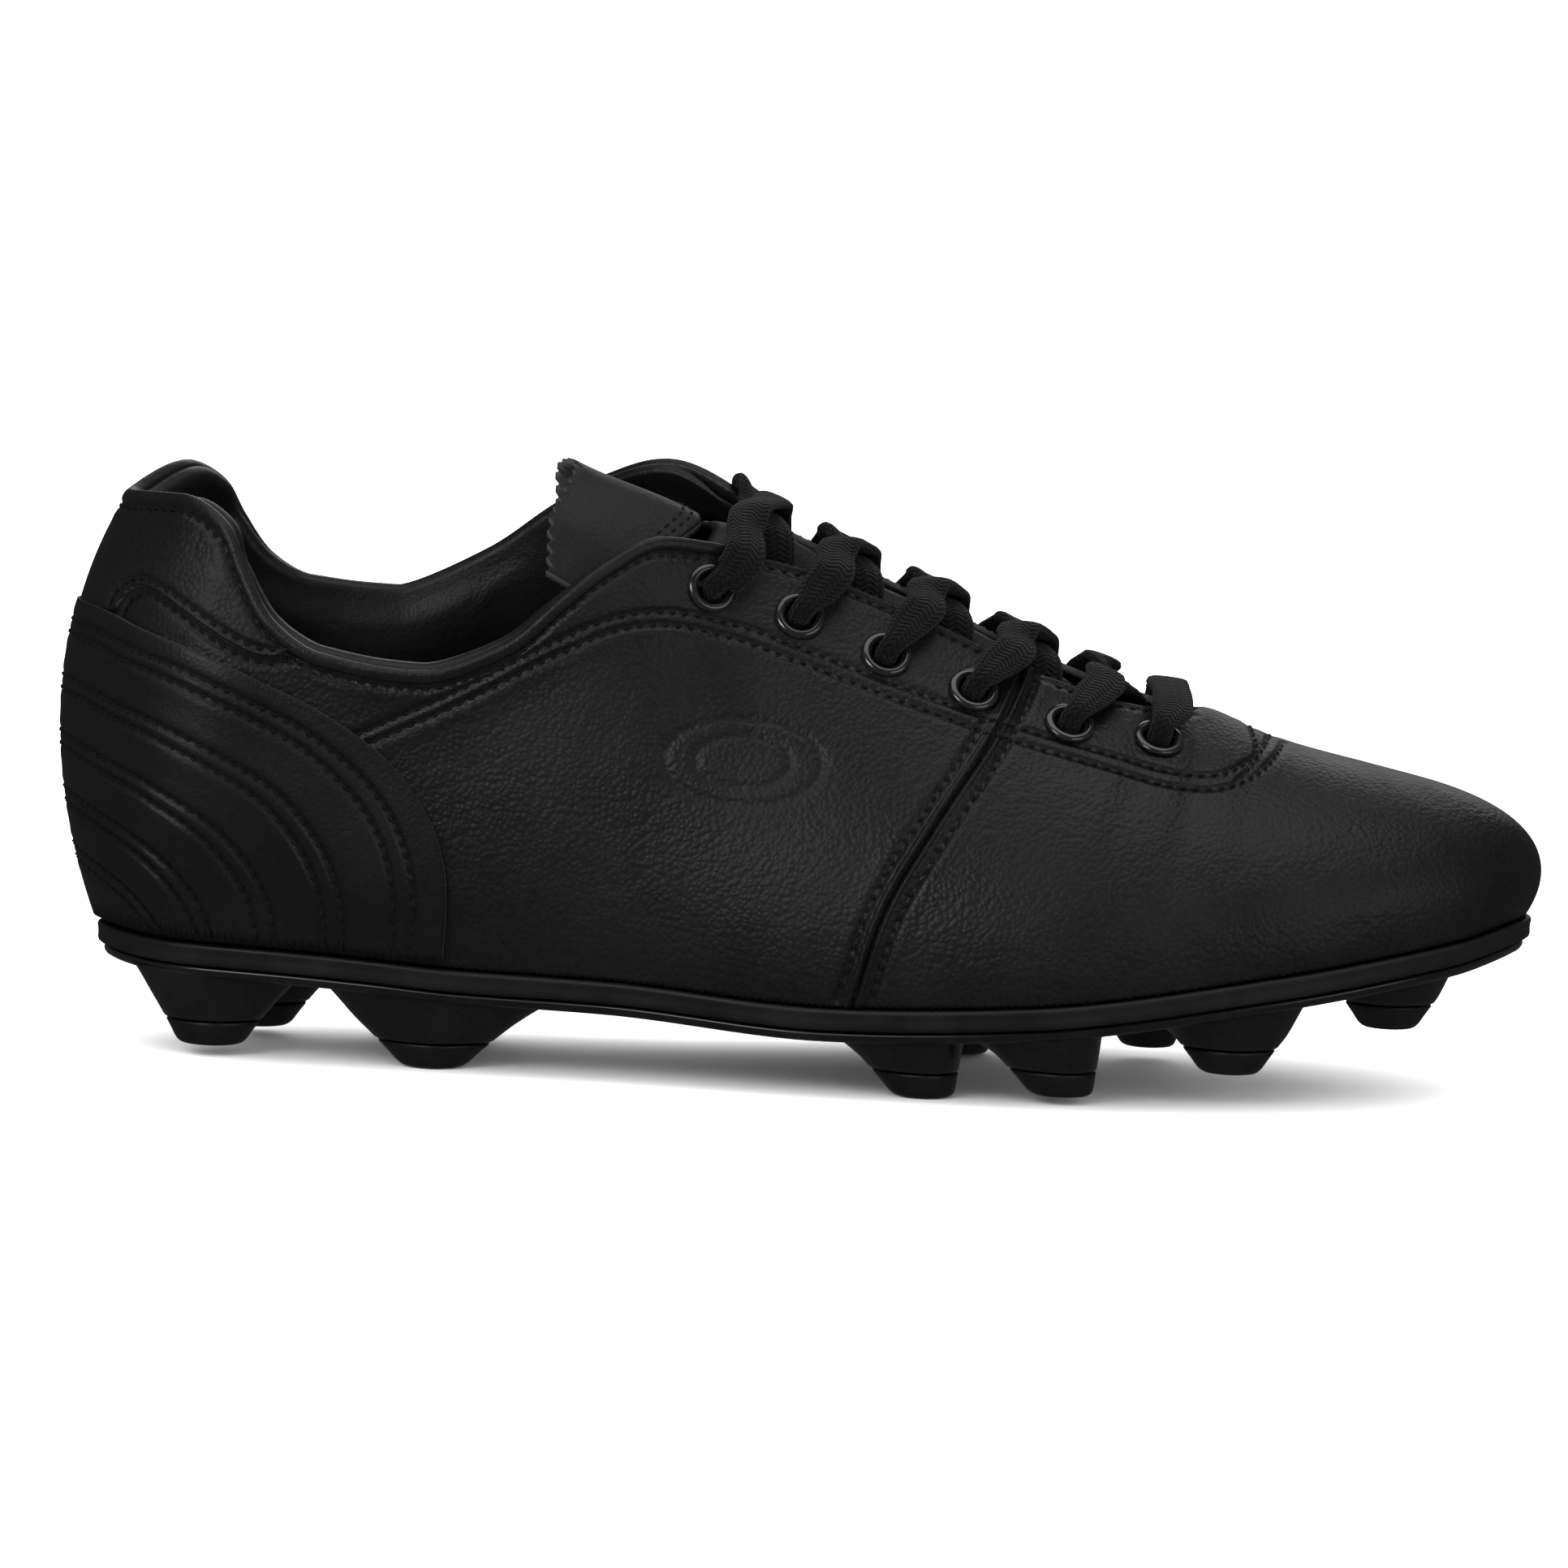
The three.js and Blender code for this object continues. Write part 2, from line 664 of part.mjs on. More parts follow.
function studRings([, x, y, tipHeight, tipRadius, behind, inFront, aside], from, to, count, segments) {
  const base = tipHeight * GRADE.z;
  const plate = soleHeight(x * GRADE.x) + lowestSole;
  const reach = plate - base;
  return spread(from, to, count).map((height) => {
    const t = THREE.MathUtils.clamp(height / reach, 0, 1.2);
    const radius = tipRadius * (1 + STUD_TAPER * t);
    const flare = t ** STUD_FLARE_POWER;
    return Array.from({ length: segments }, (_, i) => {
      const angle = (2 * Math.PI * i) / segments;
      const c = Math.cos(angle);
      const dx = c * (radius + flare * (c > 0 ? inFront : behind) * Math.abs(c));
      const follow = soleHeight(x * GRADE.x + dx) - soleHeight(x * GRADE.x);
      return new THREE.Vector3(
        x * GRADE.x + dx,
        y * GRADE.y + Math.sin(angle) * (radius + flare * aside),
        base + height + follow * smooth(t, 0.55, 1),
      );
    });
  });
}

const studTipTop = STUD_TIP_HEIGHT * GRADE.z;
const studPegHeight = STUD_PEG.height * GRADE.z;

function studBody(stud) {
  const plate = soleHeight(stud[1] * GRADE.x) + lowestSole;
  const reach = plate - stud[3] * GRADE.z;
  const top = reach + OUTSOLE * 0.5;
  const body = solid(loft(studRings(stud, studTipTop + GAP, top, 4, STUD_SIDES)));
  const socket = new THREE.CylinderGeometry(
    STUD_PEG.radius + GAP,
    STUD_PEG.radius + GAP,
    2 * (studPegHeight + GAP),
    6,
  ).rotateX(Math.PI / 2);
  socket.translate(stud[1] * GRADE.x, stud[2] * GRADE.y, stud[3] * GRADE.z + studTipTop);
  return body.subtract(solid(socket));
}

function studTip(stud) {
  const [, x, y, tipHeight, tipRadius] = stud;
  const base = tipHeight * GRADE.z;
  const rings = studRings(stud, 0, studTipTop, 2, STUD_SIDES);
  const [worn, upper] = [rings[0], rings[1].map((p) => p.setZ(base + studTipTop))];
  const sole = worn.map((p) => p.clone().lerp(new THREE.Vector3(x * GRADE.x, y * GRADE.y, p.z), 0.1));
  for (const p of worn) p.z = base + tipRadius * 0.12;
  const tip = solid(loft([sole, worn, upper]));
  const height = studPegHeight + PEG_ROOT;
  const peg = new THREE.CylinderGeometry(STUD_PEG.radius, STUD_PEG.radius, height, 6).rotateX(Math.PI / 2);
  peg.translate(x * GRADE.x, y * GRADE.y, base + studTipTop - PEG_ROOT + height / 2);
  return tip.add(solid(peg));
}

function addSole() {
  const midsoleTop = -GAP;
  const midsole = soleSlab([
    [MIDSOLE_LIP - 0.8, midsoleTop - MIDSOLE],
    [MIDSOLE_LIP, midsoleTop - MIDSOLE * 0.55],
    [MIDSOLE_LIP, midsoleTop - 0.5],
    [MIDSOLE_LIP - 0.5, midsoleTop],
  ]);
  add("midsole", midsole, satinRubber);

  const rim = MIDSOLE_LIP - OUTSOLE_INSET;
  let outsole = solid(
    soleSlab([
      [rim - 1.6, lowestSole],
      [rim, lowestSole + OUTSOLE * 0.45],
      [rim, lowestSole + OUTSOLE],
    ]),
  );
  for (const stud of STUDS) outsole = outsole.add(studBody(stud));
  add("outsole", outsole, glossyPolymer);
  for (const stud of STUDS) add("stud_tip_" + stud[0], studTip(stud), satinRubber);

  const boardInset = -(LEATHER + 2 * GAP);
  const boardBottom = LEATHER + GAP;
  const board = soleSlab([
    [boardInset, boardBottom],
    [boardInset, boardBottom + INSOLE_BOARD],
  ]);
  add("insole_board", board, stiffBoard);

  const linerInset = -(LINED + 3 * GAP);
  const linerBottom = boardBottom + INSOLE_BOARD + GAP;
  const liner = soleSlab([
    [linerInset, linerBottom],
    [linerInset, linerBottom + SOCK_LINER * 0.6],
    [linerInset - 1.5, linerBottom + SOCK_LINER],
  ]);
  add("sock_liner", liner, blackFoam);

  // The shank bridges the waist, in the space between the turned-in margins.
  const middle = -38 * GRADE.x;
  const rings = spread(-SHANK.length / 2, SHANK.length / 2, 9).map((dx) => {
    const x = middle + dx;
    const z = soleHeight(x) + 0.1;
    const half = Math.min(SHANK.width / 2, (26 * GRADE.y - LASTING_MARGIN) * 0.8);
    return [
      new THREE.Vector3(x, -half, z),
      new THREE.Vector3(x, half, z),
      new THREE.Vector3(x, half, z + SHANK.thickness),
      new THREE.Vector3(x, -half, z + SHANK.thickness),
    ];
  });
  add("shank", loft(rings), springSteel);
}

// ---------------------------------------------------------------- upper
const BEYOND = 400; // well outside the boot, in front and behind
const ABOVE = 200; // well over the boot
const CUT_STEPS = 10;

function vampRegion(dx) {
  return sideCutter([[BEYOND, ABOVE], [43 + dx, ABOVE], ...seamRun(VAMP_SEAM, CUT_STEPS, dx), [BEYOND, 0]]);
}

function collarRegion(down) {
  const run = seamRun(COLLAR_SEAM, CUT_STEPS).map(([x, z]) => [x + down * 0.6, z - down]);
  return sideCutter([...run, [-84 + down * 0.6, ABOVE], [-BEYOND, ABOVE], [-BEYOND, 80 - down]]);
}

function heelRegion() {
  const run = seamRun(HEEL_CAP_EDGE, CUT_STEPS);
  return sideCutter([...run, [-BEYOND, 10], [-BEYOND, 86.5]]);
}

function addUpper() {
  const leatherShell = solid(
    wholeLayer(
      () => 0,
      () => 0,
      () => LEATHER,
      LASTING_MARGIN,
    ),
  );
  const holes = eyeletHoles(EYELET_BORE + EYELET_WALL + GAP);
  const pierced = leatherShell.subtract(holes);
  add("vamp", pierced.intersect(vampRegion(GAP / 2)), blackLeather);
  const rear = pierced.subtract(vampRegion(-GAP / 2));
  add("collar_panel", rear.intersect(collarRegion(0)), blackLeather);
  const quarters = rear.subtract(collarRegion(GAP));
  const outerHalf = new THREE.BoxGeometry(600, 200, 400).translate(0, -100 - GAP / 2, 0);
  const innerHalf = new THREE.BoxGeometry(600, 200, 400).translate(0, 100 + GAP / 2, 0);
  add("quarter_outer", quarters.intersect(solid(outerHalf)), blackLeather);
  add("quarter_inner", quarters.intersect(solid(innerHalf)), blackLeather);

  const heelWrap = patchLayer(
    stationsFrom(5.25, 10.75),
    () => rowsBetween(0.025, 0.92),
    () => -(GAP + HEEL_CAP),
    () => -GAP,
  );
  add("heel_cap", solid(heelWrap).intersect(heelRegion()), blackLeather);

  // Stiffeners between the leather and the lining.
  const hidden = () => LEATHER + PLY_GAP * GRADE.x + FACET_SAG * GRADE.x;
  const hiddenInner = () => LEATHER + PLY_GAP + STIFFENER;
  const seat = LEATHER + GAP + INSOLE_BOARD + GAP + 1;
  const counter = patchLayer(
    stationsFrom(6, 10),
    () => rowsBetween(COUNTER.bottom, COUNTER.top),
    hidden,
    hiddenInner,
  );
  add("heel_counter", counter, stiffBoard);
  const puff = patchLayer(
    stationsFrom(-1.5, 1.5),
    () => rowsBetween(COUNTER.bottom, COUNTER.top + 0.1),
    hidden,
    hiddenInner,
  );
  add("toe_puff", puff, stiffBoard);
  for (const [name, side] of SIDES) {
    const stations = stationsFrom(2.75, 4.75).map((u) => (side < 0 ? u : STATIONS - u));
    if (side > 0) stations.reverse();
    const facing = patchLayer(
      stations,
      (u) => spread(vAtInset(u, 2 * EYELET_INSET), vAtInset(u, 2), 5),
      () => hiddenInner() - FACING,
      hiddenInner,
    );
    add("eyelet_facing_" + name, solid(facing).subtract(holes), stiffBoard);
  }
  const foam = patchLayer(
    stationsFrom(5.5, 10.5),
    () => rowsBetween(COUNTER.top + 0.03, 0.98),
    hidden,
    (u, v) => LEATHER + PLY_GAP + STIFFENER + padding(u, v),
  );
  add("collar_foam", foam, blackFoam);

  // Lining, in the pieces it is sewn from.
  const lining = solid(
    wholeLayer(
      (u) => vAtHeight(u, seat),
      liningOuter,
      liningInner,
    ),
  ).subtract(holes);
  const front = vampRegion(-10);
  add("lining_forefoot", lining.intersect(front), liningLeather);
  const backLining = lining.subtract(vampRegion(-10 - GAP));
  add("lining_outer", backLining.intersect(solid(outerHalf)), liningLeather);
  add("lining_inner", backLining.intersect(solid(innerHalf)), liningLeather);

  for (const [name, side] of SIDES) {
    for (let row = 0; row < EYELETS; row++) {
      const eyelet = placedOn(eyeletGeometry(eyeletSeat(row, side)), eyeletPlace(row, side));
      add("eyelet_" + name + "_" + (EYELETS - row), eyelet, enamelledBrass);
    }
  }
  addBinding();
}

const BINDING_START = 4.81; // station of its end beside the top eyelet

// The rolled binding sits on the edges of the leather, foam and lining, from one top eyelet to the other.
function addBinding() {
  const stations = spread(BINDING_START, STATIONS - BINDING_START, 40);
  const line = stations.map((u) => {
    const along = edge(u + 0.05).sub(edge(u - 0.05)).normalize();
    const away = along.cross(faceNormal(u, 1)).normalize();
    return layerPoint(u, 1, liningInner(u, 1) / 2).addScaledVector(away, BINDING_RADIUS + GAP + 0.3);
  });
  const path = new THREE.CatmullRomCurve3(line);
  const ring = new THREE.Shape();
  ring.absarc(0, 0, BINDING_RADIUS, 0, 2 * Math.PI, false);
  const binding = new THREE.ExtrudeGeometry(ring, { steps: 64, extrudePath: path, curveSegments: 4 });
  add("topline_binding", binding, liningLeather);
}

// ---------------------------------------------------------------- lace levels
const UNDER = LINED + 2 * PLY_GAP + EYELET_ROLL_THICKNESS + GAP + LACE_THICKNESS / 2; // depth of the lace under an eyelet
const OVER = EYELET_SEAT + EYELET_FLANGE_THICKNESS + 2 * GAP + LACE_THICKNESS / 2; // its height over an eyelet's flange
const RESTING = 6 * GAP + LACE_THICKNESS / 2; // its height where it lies on the leather

// ---------------------------------------------------------------- tongue
const TONGUE_DEPTH = UNDER + LACE_THICKNESS / 2 + 5 * GAP; // leaves the lace room under the eyestay
const TONGUE_ROOT = 70 * GRADE.x;
const SEWN_ROW = -19 * GRADE.x; // where the flap is sewn to the tongue

// A point over the throat at x: share runs from -1 at the outer eyestay edge to 1 at the inner one.
function inThroat(x, share, lift) {
  const outer = onEyestay(x, -1, 0, 0).point;
  const inner = onEyestay(x, 1, 0, 0).point;
  const point = outer.lerp(inner, (share + 1) / 2);
  point.z += lift;
  return point;
}

// How far the tongue's crest stands over the chord, less its depth: it arches over the instep.
const tongueLift = (x) => 3.6 + 2.2 * smooth(x, 64, 42) + 3 * smooth(x, 8, -16) - TONGUE_DEPTH;

// A curve across the tongue at x, from the outer to the inner side; drop is measured down from its top face.
function tongueArc(x, drop) {
  const wrap = Math.min(TONGUE_WRAP, 6 + (TONGUE_ROOT - x) * 0.7);
  const insets = [wrap, wrap / 2, 1];
  const depth = TONGUE_DEPTH + drop;
  const outerSide = insets.map((inset) => onEyestay(x, -1, inset, depth).point);
  const innerSide = insets.map((inset) => onEyestay(x, 1, inset, depth).point).reverse();
  for (const point of [...outerSide, ...innerSide]) point.z -= 2 * smooth(x, 8, -12);
  return new THREE.CatmullRomCurve3([...outerSide, inThroat(x, 0, tongueLift(x) - drop), ...innerSide]);
}

function addTongue() {
  const across = 13;
  const stations = spread(TONGUE_ROOT, SEWN_ROW + GAP, 11);
  const at = (drop) => stations.map((x) => tongueArc(x, drop).getPoints(across - 1));
  add("tongue", sandwich(at(0), at(TONGUE), { closed: false }), blackLeather);

  // The flap carries the tongue's arch on in a straight line and ends in a zigzag edge.
  const arc = tongueArc(SEWN_ROW, 0);
  const crest = arc.getPoint(0.5).z;
  const along = new THREE.Vector3(-1, 0, Math.tan(FLAP_SLOPE)).normalize();
  const teeth = Math.round(FLAP_GIRTH / PINKING_PITCH);
  const grid = (drop) =>
    spread(FLAP_TRIM, 1 - FLAP_TRIM, 2 * teeth + 1).map((t, i) => {
      const point = arc.getPoint(t);
      const start = 5 * GAP + 0.5 * Math.max(0, crest - point.z - 1);
      const end = FLAP_LENGTH - (i % 2 ? PINKING_DEPTH : 0);
      return spread(start, end, 3).map((s) => {
        const p = point.clone().addScaledVector(along, s);
        p.z -= drop;
        return p;
      });
    });
  add("tongue_flap", sandwich(grid(0), grid(FLAP), { closed: false }), blackLeather);
}

// ---------------------------------------------------------------- lace
// A flat lace through rows of { point, up, width }.
function laceGeometry(rows) {
  const line = new THREE.CatmullRomCurve3(rows.map((row) => row.point), false, "centripetal");
  const rings = rows.map((row, k) => {
    const along = line.getTangent(k / (rows.length - 1));
    const up = row.up.clone().addScaledVector(along, -row.up.dot(along)).normalize();
    const across = up.clone().cross(along);
    const side = row.width / 2;
    const half = LACE_THICKNESS / 2;
    const corners = [
      [-side, 0],
      [-side * 0.8, -half],
      [side * 0.8, -half],
      [side, 0],
      [side * 0.8, half],
      [-side * 0.8, half],
    ];
    return corners.map(([a, b]) => row.point.clone().addScaledVector(across, a).addScaledVector(up, b));
  });
  return loft(rings);
}

const LACE_TURN = 2.0; // radius of the lace's middle where it turns into and out of an eyelet

// Unit direction along the leather from one place towards another.
function heading(place, towards) {
  const way = towards.clone().sub(place.point);
  return way.addScaledVector(place.normal, -way.dot(place.normal)).normalize();
}

// Up through an eyelet: in from underneath, coming from one point, and out on top towards another.
function throughEyelet(place, from, to, flip) {
  const { point, normal } = place;
  const rows = [];
  const turn = (way, height, sense, angle) => {
    const centre = point.clone().addScaledVector(way, LACE_TURN).addScaledVector(normal, height);
    centre.addScaledVector(way, -LACE_TURN * (sense > 0 ? Math.cos(angle) : Math.sin(angle)));
    centre.addScaledVector(normal, LACE_TURN * (sense > 0 ? Math.sin(angle) : -Math.cos(angle)));
    const up =
      sense > 0
        ? way.clone().multiplyScalar(Math.cos(angle)).addScaledVector(normal, -Math.sin(angle))
        : normal.clone().multiplyScalar(Math.cos(angle)).addScaledVector(way, Math.sin(angle));
    rows.push({ point: centre, up: up.multiplyScalar(flip), width: LACE_BUNCHED_WIDTH });
  };
  const below = heading(place, from);
  const above = heading(place, to);
  for (const share of [0.1, 0.55, 1]) turn(below, LACE_TURN - UNDER, -1, (share * Math.PI) / 2);
  for (const share of [0, 0.45, 0.9]) turn(above, OVER - LACE_TURN, 1, (share * Math.PI) / 2);
  return rows;
}

// Across the throat: from on top at (row, side), down under the other side's edge towards the next row.
function acrossThroat(row, side, flip) {
  const from = eyeletX(row);
  const to = eyeletX(row - 1);
  const at = (share) => THREE.MathUtils.lerp(from, to, share);
  const over = (share, inset, height, width) => {
    const place = onEyestay(at(share), side, inset, -height);
    return { point: place.point, up: place.normal.multiplyScalar(-flip), width };
  };
  const under = (share, inset, depth, width) => {
    const place = onEyestay(at(share), -side, inset, depth);
    return { point: place.point, up: place.normal.multiplyScalar(-flip), width };
  };
  const between = (share, height, lean) => {
    const place = side * (1 - 2 * THREE.MathUtils.clamp((share - 0.25) * 2, 0, 1));
    const point = inThroat(at(share), place, tongueLift(at(share)) + height);
    const up = new THREE.Vector3(Math.sin(lean), 0, Math.cos(lean)).multiplyScalar(-flip);
    return { point, up, width: LACE_CROSSED_WIDTH };
  };
  // The outer side's strand passes over the inner side's, and both lean where they part.
  const first = LACE_THICKNESS / 2 + 3 * GAP;
  const second = first + LACE_THICKNESS + 3 * GAP;
  const middle =
    side < 0
      ? [between(0.37, second + 0.8, 0), between(0.5, second, 0), between(0.63, second - 0.2, LACE_LEAN)]
      : [between(0.38, first + 0.1, LACE_LEAN), between(0.5, first, 0), between(0.62, first - 1.1, 0)];
  const pastEdge = over(0.27, 0, 0, LACE_CROSSED_WIDTH);
  pastEdge.point = inThroat(at(0.29), side * 0.84, RESTING + GAP);
  return [
    over(0.12, EYELET_INSET * 0.5, OVER - 0.3, LACE_WIDTH),
    over(0.23, 1, RESTING + 3 * GAP, LACE_WIDTH),
    pastEdge,
    ...middle,
    under(0.77, 2.5, UNDER + 3 * GAP, LACE_CROSSED_WIDTH),
    under(0.88, EYELET_INSET * 0.5, UNDER + GAP, LACE_CROSSED_WIDTH),
  ];
}

const otherThan = (place, point) => place.point.clone().multiplyScalar(2).sub(point);

// Half of the lacing: out at the top eyelet on one side, then criss-cross down to the lowest row.
function halfLacing(side) {
  const rows = [];
  let flip = 1;
  let here = side;
  for (let row = EYELETS - 1; row >= 0; row--) {
    const place = eyeletPlace(row, here);
    const across = onEyestay(eyeletX(row) + EYELET_PITCH * 0.3, here, 0, 0).point;
    const behind = onEyestay(eyeletX(row) - EYELET_PITCH * 0.3, here, 0, 0).point;
    const edgePoint = onEyestay(eyeletX(row), here, 0, 0).point;
    const from = row === EYELETS - 1 ? otherThan(place, edgePoint) : behind;
    const to = row === 0 ? edgePoint : across;
    rows.push(...throughEyelet(place, from, to, flip));
    if (row > 0) rows.push(...acrossThroat(row, here, flip));
    flip = -flip;
    here = -here;
  }
  return rows;
}

function addLace() {
  const down = halfLacing(-1); // ends at the inner side of the lowest row
  const back = halfLacing(1).reverse();
  const flip = -1;
  const bar = [1, -1].flatMap((side) => {
    const rows = [EYELET_INSET * 0.5, 0.5].map((inset, k) => {
      const place = onEyestay(eyeletX(0), side, inset, -(k ? RESTING : OVER));
      return { point: place.point, up: place.normal.multiplyScalar(flip), width: LACE_WIDTH };
    });
    return side > 0 ? rows : rows.reverse();
  });
  const middle = inThroat(eyeletX(0), 0, RESTING + 1.5);
  bar.splice(2, 0, { point: middle, up: new THREE.Vector3(0, 0, flip), width: LACE_WIDTH });
  for (const row of bar) row.up.multiplyScalar(-1);
  add("lace", laceGeometry([...down, ...bar, ...back]), lacePolyester);
}

// The free ends hang from the top eyelets inside the boot and lie on the sock liner.
const TAIL_OUTER = [
  [-21.2, -16.2, 89.3], [-21.9, -17.4, 86], [-22.6, -19, 82], [-23.5, -21.3, 76], [-24.5, -22.7, 68],
  [-25.3, -23.2, 58], [-26, -23, 48], [-27, -22.6, 39], [-29.5, -22.6, 32],
  [-34, -22.6, 28.4], [-40, -22.3, 27.5], [-48, -21.2, 27.8], [-58, -19.6, 28.1],
  [-70, -18.2, 28.6], [-82, -17.6, 29.3], [-92, -17.5, 29.9], [-101, -15, 30.4],
  [-107.5, -8.6, 30.5], [-109.5, 0, 30.6], [-107.5, 8.6, 30.5], [-101, 15, 30.4],
  [-92, 17.5, 29.9], [-80, 18, 29.2], [-68, 17, 28.5], [-57, 14.5, 28.1],
  [-47, 10.6, 27.8], [-36, 6.6, 27.3], [-24, 4.4, 26.7], [-13, 4.2, 26.9],
];
const TAIL_INNER = [
  [-20.6, 15.6, 98.2], [-21.3, 16, 94.8], [-21.7, 17, 91], [-21.8, 18.6, 84], [-21, 20.6, 74],
  [-20, 21.8, 63], [-18.8, 22, 52], [-17, 21.5, 42], [-14, 20.8, 34],
  [-8.5, 20.3, 28.3], [-1, 20.2, 25.8], [9, 20, 25.3], [20, 20, 25.6],
  [32, 20, 26.2], [44, 20.2, 27.2], [56, 20, 28.5], [66, 18.4, 29.9],
  [74.5, 14, 31.3], [79.5, 7, 32.3], [81, 0.5, 32.6], [79.5, -6.5, 32.3],
  [74.5, -13, 31.3], [66.5, -17.5, 29.9], [57, -19.2, 28.6], [46, -19.5, 27.3],
  [34, -19, 26.3], [22, -18, 25.8], [10, -17, 25.8], [-3, -16.4, 27.3],
];
const TAIL_STEPS = 56;

function addTail(name, points, side) {
  const line = new THREE.CatmullRomCurve3(points.map((p) => new THREE.Vector3(...p)), false, "centripetal");
  const start = halfLacing(side)[0].up;
  const top = points[0][2];
  const rows = line.getPoints(TAIL_STEPS).map((point) => {
    const laid = new THREE.Vector3(3 * side * smooth(point.z, 33, 42), 0, 1);
    const up = start.clone().lerp(laid, smooth(point.z, 58, 42));
    const width = THREE.MathUtils.lerp(LACE_BUNCHED_WIDTH, LACE_WIDTH, smooth(point.z, top, 70));
    return { point, up, width };
  });
  add("lace_tail_" + name, laceGeometry(rows), lacePolyester);

  const end = line.getPoint(1);
  const along = line.getTangent(1).setZ(0).normalize();
  const aglet = new THREE.CylinderGeometry(AGLET.radius, AGLET.radius, AGLET.length, 8);
  aglet.applyQuaternion(new THREE.Quaternion().setFromUnitVectors(new THREE.Vector3(0, 1, 0), along));
  const middle = end.addScaledVector(along, AGLET.length / 2 + GAP);
  aglet.translate(middle.x, middle.y, middle.z);
  add("aglet_" + name, aglet, clearPlastic);
}

addSole();
addUpper();
addTongue();
addLace();
addTail("outer", TAIL_OUTER, -1);
addTail("inner", TAIL_INNER, 1);

export default boot;
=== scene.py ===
"""A laced leather football boot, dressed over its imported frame.

The scene is in metres and the pattern in millimetres.
"""

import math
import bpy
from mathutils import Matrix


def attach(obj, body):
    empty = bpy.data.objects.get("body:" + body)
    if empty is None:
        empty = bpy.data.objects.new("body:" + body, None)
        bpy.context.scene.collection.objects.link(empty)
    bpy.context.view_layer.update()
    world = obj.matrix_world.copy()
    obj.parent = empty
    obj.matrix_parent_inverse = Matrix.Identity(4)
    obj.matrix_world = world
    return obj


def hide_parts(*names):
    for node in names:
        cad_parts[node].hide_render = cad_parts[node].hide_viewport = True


bl_info = {
    "name": "Football Boot",
    "version": (1, 0, 0),
    "blender": (4, 5, 0),
    "location": "View3D > Sidebar > Boot",
    "description": "Leather upper, stitching, laces, lining and moulded sole of a football boot",
    "category": "Object",
}

import bmesh
import bpy
import numpy as np
from mathutils import Quaternion, Vector

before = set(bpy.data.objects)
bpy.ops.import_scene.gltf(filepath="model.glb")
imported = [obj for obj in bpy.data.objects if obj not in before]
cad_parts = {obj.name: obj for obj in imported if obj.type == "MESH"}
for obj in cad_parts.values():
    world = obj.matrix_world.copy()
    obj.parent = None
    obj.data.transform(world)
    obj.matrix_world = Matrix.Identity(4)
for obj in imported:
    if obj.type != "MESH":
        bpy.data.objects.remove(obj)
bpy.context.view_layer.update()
MM = 0.001

# ---------------------------------------------------------------- pattern of the last, in millimetres
# A station number runs round the boot: 0 toe tip, 4 outer ball, 8 heel back, 12 inner waist,
# 16 toe tip again.
STATIONS = 16
THROAT = 2.5  # forward of this station the two sides join along the crest

FEATHER = [
    [0, 141.8, 5], [1, 128.5, -23], [2, 92, -41.5], [3, 45, -47.5],
    [4, 5, -43.5], [5, -35, -35.5], [6, -80, -31], [7, -118, -24],
    [8, -133.5, 0], [9, -118, 24], [10, -80, 30], [11, -35, 29],
    [12, 5, 36], [13, 45, 46.5], [14, 92, 45], [15, 128.5, 30],
]
SOLE_LINE = [
    [-136, 23.2], [-122, 22.6], [-100, 22.1], [-80, 21.2], [-64, 20.2],
    [-35, 19.6], [5, 17.4], [45, 19.4], [92, 26.4], [127, 32.6], [142, 35],
]
OUTER_EDGE = [
    [0, 112, 0, 62.6], [1, 104, 0, 64.6], [2, 90, 0, 68.2], [2.5, 77, 0, 73],
    [2.65, 74.5, -5, 72.3], [3, 60, -10.5, 74.4], [3.5, 43, -12, 80], [4, 20, -12.8, 90],
    [4.5, -4, -14, 98.3], [4.75, -15, -17.5, 100.3], [5, -27.5, -23.5, 101.6], [5.25, -38, -28, 96.5],
    [5.5, -46, -30.5, 89.8], [5.75, -56, -32.5, 81], [6, -72, -33.5, 75], [6.5, -92, -32, 77.6],
    [6.75, -102, -30, 84], [7, -107.5, -27, 93], [7.25, -112, -23.5, 100], [7.5, -119, -17.5, 102.7],
    [8, -131, 0, 101.8],
]
INNER_EDGE = [
    [2.5, 77, 0, 73], [2.65, 74.5, 5, 72.5], [3, 60, 10.5, 75.9], [3.5, 43, 12, 82],
    [4, 20, 12.8, 92.2], [4.5, -4, 14, 102.8], [4.75, -15, 17.5, 108], [5, -27.5, 22.5, 110.4],
    [5.25, -38, 27, 107], [5.5, -48, 30, 100.5], [5.75, -60, 32, 91.5], [6, -80, 32.5, 82.3],
    [6.5, -98.5, 31, 84], [6.75, -108.5, 29, 89.5], [7, -114.5, 26, 98], [7.25, -117.5, 23, 104],
    [7.5, -122, 17.5, 106.5],
]
BULGE = [
    [0, 7, 11.5, 30, 4.6], [1, 8, 15, 23, 3.2], [2, 6, 20, 21, 2.5], [2.5, 5, 21, 20, 3.5],
    [3, 5, 22, 19, 7], [3.5, 5, 24, 17, 9], [4, 5.5, 26, 14, 12], [4.5, 6, 27, 11, 16],
    [5, 6, 28, 8, 24], [5.5, 6, 25, 2, 24], [6, 6.5, 20, -2, 20], [6.5, 7, 20, 0, 20],
    [7, 9, 24, 10, 26], [7.5, 10, 25, 14.5, 27], [8, 9.5, 24, 15.5, 27],
]
